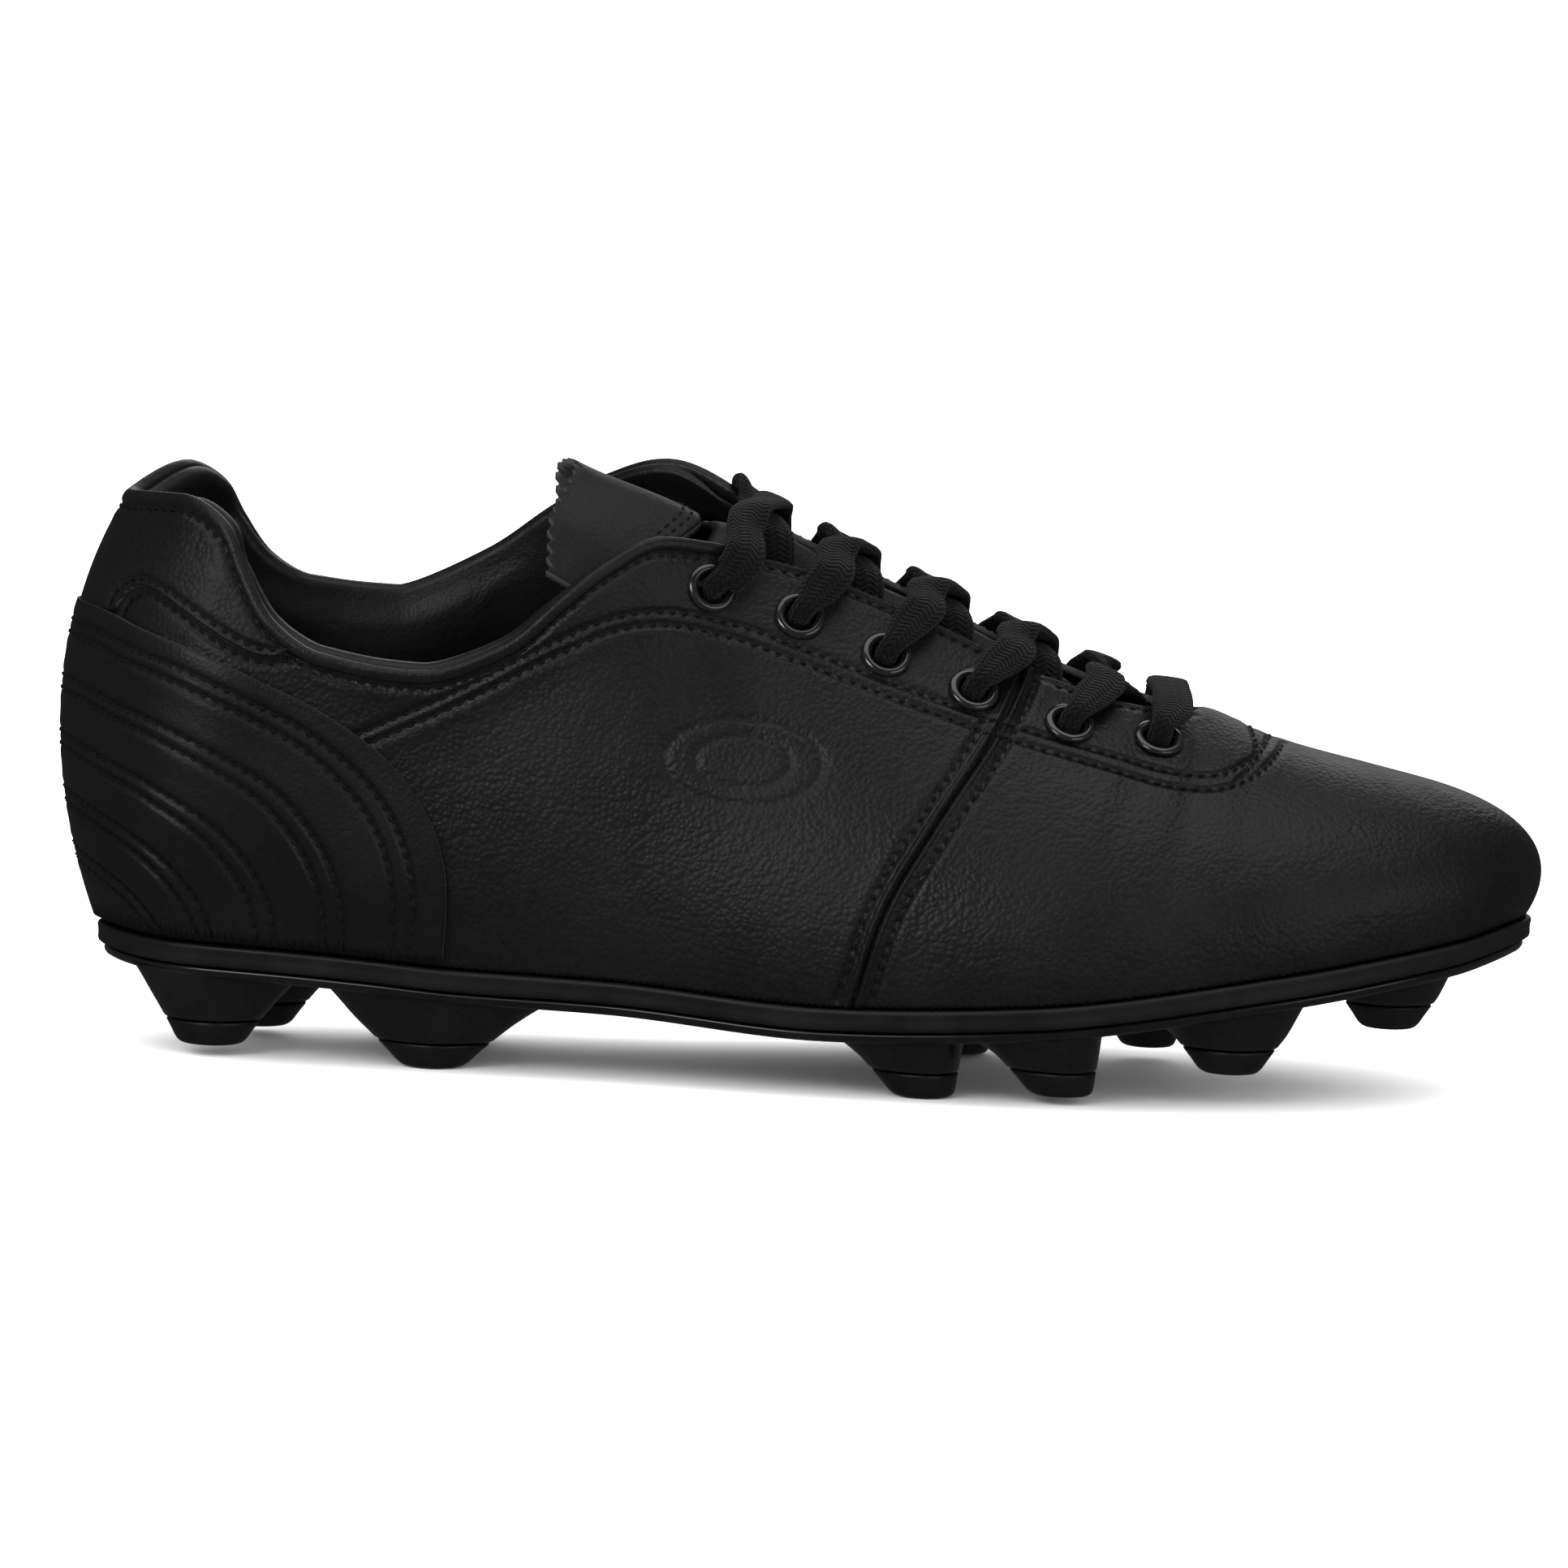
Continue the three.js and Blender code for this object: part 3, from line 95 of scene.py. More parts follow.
# Studs: [x, y, height of the tip above ground, tip radius, flare behind, flare in front, flare to the side].
STUDS = {
    "heel_outer_rear": [-110.8, -15.5, 1.9, 6.4, 7.5, 9.5, 2.5],
    "heel_outer_front": [-68, -20, 0, 6.4, 14, 15, 3.5],
    "heel_inner_rear": [-104, 15, 1.7, 6.4, 8, 10, 3],
    "heel_inner_front": [-68, 19, 0, 6.4, 14, 15, 3.5],
    "ball_outer_rear": [25.7, -33, 0, 6.0, 10, 0.8, 3],
    "ball_outer_front": [51.8, -34.5, 1.4, 6.0, 11, 0.8, 3],
    "toe_outer_rear": [83.8, -29, 6.2, 5.7, 9.5, 8, 3],
    "toe_outer_front": [114.8, -13, 14, 5.4, 6.5, 6, 3],
    "ball_inner_rear": [34, 28, 0, 5.4, 9, 1.5, 3],
    "ball_inner_front": [71, 31, 2.5, 5.4, 8, 2, 3],
    "toe_inner_rear": [93, 27, 8.5, 5.7, 6, 6, 3],
    "toe_inner_front": [116, 14, 14.3, 5.4, 6, 6, 3],
}

# Seams and stitch lines drawn on the outer side of the boot, as [x, z]; the inner side mirrors them.
VAMP_SEAM = [[43.2, 84], [40, 75.5], [36.4, 68.4], [25.4, 51.5], [16.9, 36.3], [11.5, 18]]
EYESTAY_STITCH = [
    [-89, 60], [-80, 64.5], [-65.7, 71.5], [-47.7, 81.5], [-35.8, 86.8], [-26.6, 88], [-14.3, 86],
    [1.3, 81.2], [16.9, 76], [36.4, 70], [56, 65], [71.8, 61.3], [80, 61.3], [87, 64], [92, 68],
]
FACING_STITCH = [[86, 71.2], [87.2, 66], [83.5, 61.5]]
COLLAR_SEAM = [
    [-131.5, 84], [-129.8, 87.4], [-126.5, 89.3], [-123, 88.6], [-117, 85.2],
    [-110, 81], [-103.5, 78.2], [-98.5, 78.4], [-94, 81],
]
# Edge of the heel cap: round the back as [station, z], then along the side as [x, z].
HEEL_CAP_BACK = [[8, 84.8], [7.75, 84.4]]
HEEL_CAP_SIDE = [[-127, 81.9], [-105.7, 74.7], [-85.4, 65], [-74.5, 56], [-68, 46], [-65.5, 35], [-66, 24]]
HEEL_CAP_CORNER = 53  # height at which the edge's top turns into its front
HEEL_SEAT = 14.0

STAMP_CENTRE = (-11, 62)
STAMP_SLIMNESS = 1.9
STAMP_DEPTH = 0.35

# The free ends of the lace, as the frame has them.
TAIL_OUTER = [
    [-21.2, -16.2, 89.3], [-21.9, -17.4, 86], [-22.6, -19, 82], [-23.5, -21.3, 76], [-24.5, -22.7, 68],
    [-25.3, -23.2, 58], [-26, -23, 48], [-27, -22.6, 39], [-29.5, -22.6, 32],
    [-34, -22.6, 28.4], [-40, -22.3, 27.5], [-48, -21.2, 27.8], [-58, -19.6, 28.1],
    [-70, -18.2, 28.6], [-82, -17.6, 29.3], [-92, -17.5, 29.9], [-101, -15, 30.4],
    [-107.5, -8.6, 30.5], [-109.5, 0, 30.6], [-107.5, 8.6, 30.5], [-101, 15, 30.4],
    [-92, 17.5, 29.9], [-80, 18, 29.2], [-68, 17, 28.5], [-57, 14.5, 28.1],
    [-47, 10.6, 27.8], [-36, 6.6, 27.3], [-24, 4.4, 26.7], [-13, 4.2, 26.9],
]
TAIL_INNER = [
    [-20.6, 15.6, 98.2], [-21.3, 16, 94.8], [-21.7, 17, 91], [-21.8, 18.6, 84], [-21, 20.6, 74],
    [-20, 21.8, 63], [-18.8, 22, 52], [-17, 21.5, 42], [-14, 20.8, 34],
    [-8.5, 20.3, 28.3], [-1, 20.2, 25.8], [9, 20, 25.3], [20, 20, 25.6],
    [32, 20, 26.2], [44, 20.2, 27.2], [56, 20, 28.5], [66, 18.4, 29.9],
    [74.5, 14, 31.3], [79.5, 7, 32.3], [81, 0.5, 32.6], [79.5, -6.5, 32.3],
    [74.5, -13, 31.3], [66.5, -17.5, 29.9], [57, -19.2, 28.6], [46, -19.5, 27.3],
    [34, -19, 26.3], [22, -18, 25.8], [10, -17, 25.8], [-3, -16.4, 27.3],
]

# Sizes that the frame fixes.
GAP = 0.3
PLY_GAP = 0.45
LEATHER = 1.4
STIFFENER = 1.0
LINING = 1.0
RIM = PLY_GAP + STIFFENER + PLY_GAP
LINED = LEATHER + RIM + LINING
COLLAR_PAD = 3.0
TURNED_IN = 10.0
MIDSOLE = 4.2
MIDSOLE_LIP = 1.1
OUTSOLE = 2.1
OUTSOLE_INSET = 1.4
INSOLE_BOARD = 1.5
SOCK_LINER = 3.0
SOCK_LINER_LIP = 2.0  # its soft edge spreads this far against the lining
EYELETS = 6
EYELET_PITCH = 17.5
EYELET_INSET = 12.0
EYELET_RISE = 4.2
EYELET_BORE = 2.9
EYELET_FLANGE = 4.9
EYELET_SEAT = 0.25
LACE_BUNCHED = 4.6
TONGUE = 2.4
TONGUE_WRAP = 16.5
TONGUE_ROOT = 70.0
SEWN_ROW = -19.0
FLAP = 1.6
FLAP_LENGTH = 29.0
FLAP_GIRTH = 54.0
FLAP_SLOPE = math.radians(22)
FLAP_TRIM = 0.93
FLAP_CLEARANCE = 2.2  # leaves the flap room to fold down behind the tongue
PINKING_PITCH = 3.0
PINKING_DEPTH = 1.5
STUD_TIP = 4.6
STUD_TAPER = 0.12
STUD_FLARE_POWER = 1.15
COLLAR_RISE = 3.1  # the leather runs this far up past the frame's edge, inside the rolled binding
OUTER_RISE = 0.15  # share of that rise on the outer side, whose binding is thinner
EASING = 0.3  # stations over which the side is drawn smooth between the pattern's ribs
FLOOR_LIGHT = 2.1  # brightness of the surroundings that lights the floor
COLLAR_LIFT = 0.9  # how far the collar panel stands over the quarters
CAP_LIFT = 1.5  # how far the heel cap stands over the quarters
WELT_HEIGHT = 0.6  # folded edges that meet along the vamp seam
WELT_MIDDLE = 0.85
WELT_SPREAD = 0.42
NEAR_SEAM = np.arange(0, 4.3, 0.3)  # extra mesh columns beside a seam
STITCH_PITCH = 2.5
STITCH_LENGTH = 1.9
THREAD_RADIUS = 0.3
TONGUE_UNDER = LINED + 2 * PLY_GAP + 0.6 + GAP + 0.8
TONGUE_DEPTH = TONGUE_UNDER + 0.8 + 5 * GAP
LACE_OVER = 0.55 + 0.9 + 2 * GAP + 0.8
LOWEST_SOLE = -(GAP + MIDSOLE + GAP + OUTSOLE)
PUNCHED_HOLE = EYELET_BORE + 0.6  # radius of the hole in the leather and the lining
BINDING_START = 4.66  # station where the binding begins; it ends as far from the toe on the inner side
STATION_SCALE = [40, 1]  # weighs a station against a millimetre of height when points are spaced
VAMP_SEAM_STITCH = 3.0  # distance of a row of stitches from its seam
COLLAR_SEAM_STITCH = 1.3
EYESTAY_ROW = 1.2  # half the distance between the two rows
QUILTED_ROWS = 5
TAIL_THICKNESS = 1.5
TAIL_BUNCHED = 4.2  # width of a free end where it leaves its eyelet
AGLET_LENGTH = 20.0
AGLET_RADIUS = 1.7


# ---------------------------------------------------------------- curves
def smooth(x, start, end):
    """Rises from 0 to 1 as x goes from start to end."""
    t = np.clip((np.asarray(x, float) - start) / (end - start), 0, 1)
    return t * t * (3 - 2 * t)


def through(rows):
    """A curve through rows [station, values...] that never overshoots between them."""
    table = np.array(rows, float)
    knots, values = table[:, 0], table[:, 1:]
    steps = np.diff(knots)[:, None]
    rises = np.diff(values, axis=0) / steps
    before, after, h0, h1 = rises[:-1], rises[1:], steps[:-1], steps[1:]
    turning = before * after <= 0
    safe_before, safe_after = np.where(turning, 1, before), np.where(turning, 1, after)
    mean = 3 * (h0 + h1) / ((2 * h1 + h0) / safe_before + (h1 + 2 * h0) / safe_after)
    slopes = np.zeros_like(values)
    slopes[1:-1] = np.where(turning, 0, mean)

    def curve(at):
        at = np.asarray(at, float)
        i = np.clip(np.searchsorted(knots, at, side="right") - 1, 0, len(knots) - 2)
        h = steps[i, 0][..., None]
        t = np.clip((at - knots[i])[..., None] / h, 0, 1)
        start, end = (1 + 2 * t) * (1 - t) ** 2, t * t * (3 - 2 * t)
        bend = (1 - t) * slopes[i] - t * slopes[i + 1]
        return start * values[i] + end * values[i + 1] + h * t * (1 - t) * bend

    return curve


def round_the_boot(rows):
    """The same for a closed run of stations."""
    laps = [[row[0] + lap, *row[1:]] for lap in (-STATIONS, 0, STATIONS) for row in rows]
    curve = through(laps)
    return lambda u: curve(np.mod(u, STATIONS))


def mirrored(rows):
    return [[STATIONS - row[0], *row[1:]] for row in reversed(rows)]


crest_rows = [row for row in OUTER_EDGE if row[0] < THROAT]
feather_curve = round_the_boot(FEATHER)
edge_curve = round_the_boot([*OUTER_EDGE, *mirrored([*crest_rows[1:], *INNER_EDGE])])
bulge_curve = round_the_boot([*BULGE, *mirrored(BULGE[1:-1])])
sole_curve = through(SOLE_LINE)


def sole_height(x):
    return sole_curve(x)[..., 0]


def unit(v):
    return v / np.maximum(np.linalg.norm(v, axis=-1, keepdims=True), 1e-9)


def outward(u):
    """Horizontal direction pointing away from the boot at a station."""
    along = feather_curve(np.asarray(u) + 0.04) - feather_curve(np.asarray(u) - 0.04)
    flat = np.stack([-along[..., 1], along[..., 0], np.zeros(along.shape[:-1])], -1)
    return unit(flat)


def on_sole(u, offset, height):
    """A point moved out from the feather line, at a height over it."""
    plan = feather_curve(u)
    point = np.concatenate([plan, np.zeros(plan.shape[:-1] + (1,))],
                           -1) + outward(u) * np.asarray(offset)[..., None]
    point[..., 2] = sole_height(point[..., 0]) + height
    return point


def from_toe(u):
    wrapped = np.mod(u, STATIONS)
    return np.minimum(wrapped, STATIONS - wrapped)


def edge(u, raised=True):
    """The upper's top edge; raised adds the collar's own height inside its binding."""
    u = np.asarray(u, float)
    line = edge_curve(u)
    if raised:
        along = edge_curve(u + 0.05) - edge_curve(u - 0.05)
        away = unit(np.cross(along, outward(u)))
        wrapped = np.mod(u, STATIONS)
        share = np.where(wrapped > STATIONS / 2, 1, OUTER_RISE + (1 - OUTER_RISE) * smooth(wrapped, 6.9, 7.5))
        line = line + away * (COLLAR_RISE * share * smooth(from_toe(u), 4.62, 5.0))[..., None]
    return line


def face_point(u, v, raised=True):
    """Outer face of the leather: v is 0 at the feather line and 1 at the edge."""
    u, v = np.broadcast_arrays(np.asarray(u, float), np.asarray(v, float))
    wrapped = np.mod(u, STATIONS)
    sides = smooth(np.abs(wrapped - STATIONS / 2), 0.8, 1.8) * smooth(from_toe(u), 0.8, 1.8)
    eased = (0.55 * sides * smooth(v, 0.97, 0.75) * smooth(v, 0, 0.15))[..., None]
    beside_it = (rib_point(u - EASING, v, raised) + rib_point(u + EASING, v, raised)) / 2
    return rib_point(u, v, raised) * (1 - eased) + beside_it * eased


def rib_point(u, v, raised):
    """A point on the profile of one station."""
    bulge = bulge_curve(u)
    out = outward(u)
    start, end = on_sole(u, np.zeros_like(u), 0), edge(u, raised)
    low = start + out * bulge[..., 0:1]
    low[..., 2] += bulge[..., 1]
    high = end + out * bulge[..., 2:3]
    high[..., 2] -= bulge[..., 3]
    t = v[..., None]
    return (1 - t) ** 3 * start + 3 * (1 - t) ** 2 * t * low + 3 * (1 - t) * t * t * high + t**3 * end


def face_normal(u, v, raised=True):
    u, v = np.broadcast_arrays(np.asarray(u, float), np.asarray(v, float))
    along = face_point(u + 0.03, v, raised) - face_point(u - 0.03, v, raised)
    up = face_point(u, np.minimum(v + 0.01, 1), raised) - face_point(u, np.maximum(v - 0.01, 0), raised)
    normal = unit(np.cross(up, along))
    toe = np.clip(from_toe(u), 0.2, THROAT - 0.1)
    ridge = edge_curve(toe + 0.1) - edge_curve(toe - 0.1)
    crest = unit(np.stack([ridge[..., 2], np.zeros_like(toe), -ridge[..., 0]], -1))
    at_crest = ((v > 0.999) & (from_toe(u) <= THROAT))[..., None]
    return np.where(at_crest, crest, normal)


def layer(u, v, depth, raised=True):
    """A point at a depth under the leather's outer face."""
    depth = np.broadcast_to(np.asarray(depth, float), np.broadcast(u, v).shape)
    return face_point(u, v, raised) - face_normal(u, v, raised) * depth[..., None]


def v_at_height(u, z, raised=True):
    """The v at which a station's profile reaches a height above the ground."""
    u, z = np.broadcast_arrays(np.asarray(u, float), np.asarray(z, float))
    low, high = np.zeros(u.shape), np.ones(u.shape)
    for _ in range(22):
        middle = (low + high) / 2
        below = face_point(u, middle, raised)[..., 2] < z
        low, high = np.where(below, middle, low), np.where(below, high, middle)
    return (low + high) / 2


def on_outer(points):
    """Stations and v of side-view points [x, z] on the outer side."""
    x, z = np.array(points, float).T
    low, high = np.full(x.shape, 0.3), np.full(x.shape, 7.98)
    for _ in range(22):
        middle = (low + high) / 2
        ahead = face_point(middle, v_at_height(middle, z))[..., 0] > x
        low, high = np.where(ahead, middle, low), np.where(ahead, high, middle)
    u = (low + high) / 2
    return np.stack([u, v_at_height(u, z)], -1)


def flipped(uv):
    """The same line on the other side of the boot."""
    return np.stack([STATIONS - uv[:, 0], uv[:, 1]], -1)


def spline(points, count):
    """Evenly spread points on a smooth curve through the given ones."""
    p = np.array(points, float)
    gaps = np.sqrt(np.linalg.norm(np.diff(p, axis=0), axis=1))
    knots = np.concatenate([[0], np.cumsum(gaps)])
    tangents = np.gradient(p, knots, axis=0)
    at = np.linspace(0, knots[-1], 12 * len(p))
    i = np.clip(np.searchsorted(knots, at, side="right") - 1, 0, len(p) - 2)
    h = (knots[i + 1] - knots[i])[:, None]
    t = (at - knots[i])[:, None] / h
    fine = (
        (1 + 2 * t) * (1 - t) ** 2 * p[i]
        + t * (1 - t) ** 2 * h * tangents[i]
        + t * t * (3 - 2 * t) * p[i + 1]
        - t * t * (1 - t) * h * tangents[i + 1]
    )
    return resampled(fine, count)


def resampled(points, count):
    """The same run of points at an even spacing."""
    run = np.concatenate([[0], np.cumsum(np.linalg.norm(np.diff(points, axis=0), axis=1))])
    at = np.linspace(0, run[-1], count)
    return np.stack([np.interp(at, run, points[:, k]) for k in range(points.shape[1])], -1)


def distance_to(points, targets):
    """Distance in millimetres from each point of a grid to the nearest target point."""
    flat = points.reshape(-1, 3)
    out = np.full(len(flat), 99.0)
    if len(targets):
        for k in range(0, len(flat), 4000):
            block = flat[k : k + 4000, None, :] - targets[None, :, :]
            out[k : k + 4000] = np.sqrt((block**2).sum(-1).min(1))
    return out.reshape(points.shape[:-1])


# ---------------------------------------------------------------- meshes
def new_object(name, points, faces, slots=None, materials=(), body="boot", replaces=(), slot=None):
    """A smooth-shaded mesh object in the frame, from millimetre points."""
    mesh = bpy.data.meshes.new(name)
    mesh.from_pydata((np.asarray(points) * MM).tolist(), [], faces)
    for material in materials:
        mesh.materials.append(material)
    if slots is not None:
        mesh.polygons.foreach_set("material_index", slots)
    mesh.polygons.foreach_set("use_smooth", [True] * len(mesh.polygons))
    obj = bpy.data.objects.new(name, mesh)
    bpy.context.scene.collection.objects.link(obj)
    return dressed(obj, body, replaces)


def dressed(obj, body, replaces=()):
    """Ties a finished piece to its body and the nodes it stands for."""
    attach(obj, body)
    if replaces:
        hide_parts(*replaces)
    return obj


def cleaned(obj, merge=0.004, outward_faces=True):
    """Merges doubled points and turns the faces outwards."""
    work = bmesh.new()
    work.from_mesh(obj.data)
    bmesh.ops.remove_doubles(work, verts=work.verts, dist=merge * MM)
    if outward_faces:
        bmesh.ops.recalc_face_normals(work, faces=work.faces)
    work.to_mesh(obj.data)
    work.free()
    return obj


def grid_solid(outer, inner, keep=None, wrap=False, zipped=None):
    """Points, faces and slots of a solid between two grids. Left-out cells leave real holes with walls."""
    columns, rows = outer.shape[:2]
    cells = columns if wrap else columns - 1
    kept = np.ones((cells, rows - 1), bool) if keep is None else keep
    index = np.arange(columns * rows).reshape(columns, rows)
    offset = columns * rows
    faces, slots = [], []

    def put(face, material):
        faces.append(face)
        slots.append(material)

    for i in range(cells):
        n = (i + 1) % columns
        for j in range(rows - 1):
            if not kept[i, j]:
                continue
            a, b, c, d = (int(k) for k in (index[i, j], index[i, j + 1], index[n, j + 1], index[n, j]))
            put((a, b, c, d), 0)
            put((a + offset, d + offset, c + offset, b + offset), 1)
            left = i - 1 if (wrap or i) else None
            if left is None or not kept[left, j]:
                put((b, a, a + offset, b + offset), 1)
            right = (i + 1) % cells if (wrap or i + 1 < cells) else None
            if right is None or not kept[right, j]:
                put((d, c, c + offset, d + offset), 1)
            if j == 0 or not kept[i, j - 1]:
                put((a, d, d + offset, a + offset), 1)
            at_top = j == rows - 2
            if (at_top and not (zipped is not None and zipped[i])) or (not at_top and not kept[i, j + 1]):
                put((c, b, b + offset, c + offset), 1)
    points = np.concatenate([outer.reshape(-1, 3), inner.reshape(-1, 3)])
    return points, faces, slots


def store(obj, name, values):
    """Keeps one number for each vertex, for the materials."""
    attribute = obj.data.attributes.new(name, "FLOAT", "POINT")
    attribute.data.foreach_set("value", np.asarray(values, np.float32).ravel())


def swept(rings, closed_ends=True):
    """Points and faces through rings of equal count."""
    count = len(rings[0])
    points = np.concatenate(rings)
    faces = []
    for k in range(len(rings) - 1):
        for i in range(count):
            n = (i + 1) % count
            faces.append((k * count + i, k * count + n, (k + 1) * count + n, (k + 1) * count + i))
    if closed_ends:
        faces.append(tuple(reversed(range(count))))
        faces.append(tuple(range((len(rings) - 1) * count, len(rings) * count)))
    return points, faces


# ---------------------------------------------------------------- materials
def linear(hex_colour):
    """Linear RGBA of an sRGB hex colour."""
    channels = [int(hex_colour[k : k + 2], 16) / 255 for k in (1, 3, 5)]
    return tuple(c / 12.92 if c <= 0.04045 else ((c + 0.055) / 1.055) ** 2.4 for c in channels) + (1.0,)


def add_node(tree, kind, settings=None, links=None):
    """Adds a node, sets its properties and sockets, and links its inputs."""
    node = tree.nodes.new(kind)
    for key, value in (settings or {}).items():
        if isinstance(key, str) and hasattr(node, key):
            setattr(node, key, value)
        else:
            node.inputs[key].default_value = value
    for key, source in (links or {}).items():
        tree.links.new(source, node.inputs[key])
    return node


def new_material(name):
    """An empty node material and its tree, shader and object coordinates."""
    material = bpy.data.materials.new(name)
    material.use_nodes = True
    tree = material.node_tree
    tree.nodes.clear()
    shader = add_node(tree, "ShaderNodeBsdfPrincipled")
    add_node(tree, "ShaderNodeOutputMaterial", links={"Surface": shader.outputs[0]})
    where = add_node(tree, "ShaderNodeTexCoord").outputs["Object"]
    return material, tree, shader, where


def per_mm(size):
    """Texture scale of a pattern whose features are this many millimetres wide."""
    return 1 / (size * MM)


def ramp(tree, source, low, high):
    """A linear colour or number between two stops."""
    node = add_node(tree, "ShaderNodeMapRange", {"From Min": low[0], "From Max": high[0], "To Min": low[1],
                                                 "To Max": high[1]}, {"Value": source})
    return node.outputs[0]


def maths(tree, operation, a, b):
    node = add_node(tree, "ShaderNodeMath", {"operation": operation})
    for socket, value in zip(node.inputs, (a, b)):
        if isinstance(value, (int, float)):
            socket.default_value = value
        else:
            tree.links.new(value, socket)
    return node.outputs[0]


def mixed(tree, share, dark, light):
    node = add_node(tree, "ShaderNodeMix", {"data_type": "RGBA"})
    node.inputs[6].default_value = linear(dark)
    node.inputs[7].default_value = linear(light)
    tree.links.new(share, node.inputs[0])
    return node.outputs[2]


def leather(name, colour, worn, roughness, grain, depth, crease=0.25, seams=True):
    """Full-grain calf: vegetable dyed, pressed pebble grain, satin wax finish. Grain in millimetres."""
    material, tree, shader, where = new_material(name)
    bent = add_node(tree, "ShaderNodeTexNoise", {"Scale": per_mm(grain * 3), "Detail": 2.0},
                    {"Vector": where})
    shifted = add_node(tree, "ShaderNodeVectorMath", {"operation": "SCALE", "Scale": grain * 0.9 * MM},
                       {0: bent.outputs["Color"]})
    place = add_node(tree, "ShaderNodeVectorMath", {"operation": "ADD"}, {0: where, 1: shifted.outputs[0]})
    cells = add_node(tree, "ShaderNodeTexVoronoi",
                     {"feature": "SMOOTH_F1", "Scale": per_mm(grain), "Smoothness": 0.35},
                     {"Vector": place.outputs[0]})
    pores = add_node(tree, "ShaderNodeTexNoise", {"Scale": per_mm(grain * 0.45), "Detail": 3.0},
                     {"Vector": where})
    folds = add_node(tree, "ShaderNodeTexNoise", {"Scale": per_mm(9), "Detail": 3.0, "Distortion": 0.8},
                     {"Vector": where})
    pebble = maths(tree, "MULTIPLY", cells.outputs["Distance"], -1.0)
    height = maths(tree, "MULTIPLY_ADD", pores.outputs[0], 0.35)
    tree.links.new(pebble, height.node.inputs[2])
    fine = add_node(tree, "ShaderNodeBump", {"Strength": 1.0, "Distance": depth * MM}, {"Height": height})
    broad = add_node(tree, "ShaderNodeBump", {"Strength": crease, "Distance": 0.8 * MM},
                     {"Height": folds.outputs[0], "Normal": fine.outputs[0]})
    last = broad
    if seams:
        seam = add_node(tree, "ShaderNodeAttribute", {"attribute_name": "seam"}).outputs["Fac"]
        pull = ramp(tree, seam, (0.0, 0.0), (1.1, 1.0))
        last = add_node(tree, "ShaderNodeBump", {"Strength": 0.9, "Distance": 0.45 * MM},
                        {"Height": pull, "Normal": broad.outputs[0]})
    tree.links.new(last.outputs[0], shader.inputs["Normal"])
    patches = add_node(tree, "ShaderNodeTexNoise", {"Scale": per_mm(26), "Detail": 4.0}, {"Vector": where})
    tone = maths(tree, "MULTIPLY_ADD", cells.outputs["Distance"], -0.35)
    tree.links.new(patches.outputs[0], tone.node.inputs[2])
    tree.links.new(mixed(tree, ramp(tree, tone, (0.15, 0.0), (0.6, 1.0)), colour, worn),
                   shader.inputs["Base Color"])
    gloss = ramp(tree, patches.outputs[0], (0.3, roughness - 0.05), (0.7, roughness + 0.07))
    tree.links.new(gloss, shader.inputs["Roughness"])
    shader.inputs["Specular IOR Level"].default_value = 0.42
    return material


def raw_edge():
    """Cut edge of dyed leather: lighter fibres, quite matt."""
    material, tree, shader, where = new_material("cut_leather_edge")
    fibres = add_node(tree, "ShaderNodeTexNoise", {"Scale": per_mm(0.5), "Detail": 5.0}, {"Vector": where})
    bump = add_node(tree, "ShaderNodeBump", {"Strength": 0.8, "Distance": 0.15 * MM},
                    {"Height": fibres.outputs[0]})
    tree.links.new(mixed(tree, fibres.outputs[0], "#1e1e20", "#3c3c3f"), shader.inputs["Base Color"])
    tree.links.new(bump.outputs[0], shader.inputs["Normal"])
    shader.inputs["Roughness"].default_value = 0.8
    return material


def moulded(name, colour, lighter, roughness, texture, depth, coat=0.0):
    """Injection-moulded polymer: even colour, faint tool texture, soft sheen from the mould."""
    material, tree, shader, where = new_material(name)
    skin = add_node(tree, "ShaderNodeTexNoise", {"Scale": per_mm(texture), "Detail": 3.0}, {"Vector": where})
    scuffs = add_node(tree, "ShaderNodeTexNoise", {"Scale": per_mm(14), "Detail": 5.0, "Distortion": 1.2},
                      {"Vector": where})
    bump = add_node(tree, "ShaderNodeBump", {"Strength": 0.6, "Distance": depth * MM},
                    {"Height": skin.outputs[0]})
    tree.links.new(bump.outputs[0], shader.inputs["Normal"])
    tree.links.new(mixed(tree, ramp(tree, scuffs.outputs[0], (0.35, 0.0), (0.7, 1.0)), colour, lighter),
                   shader.inputs["Base Color"])
    gloss = ramp(tree, scuffs.outputs[0], (0.35, roughness - 0.04), (0.7, roughness + 0.08))
    tree.links.new(gloss, shader.inputs["Roughness"])
    shader.inputs["IOR"].default_value = 1.5
    shader.inputs["Coat Weight"].default_value = coat
    shader.inputs["Coat Roughness"].default_value = 0.15
    return material


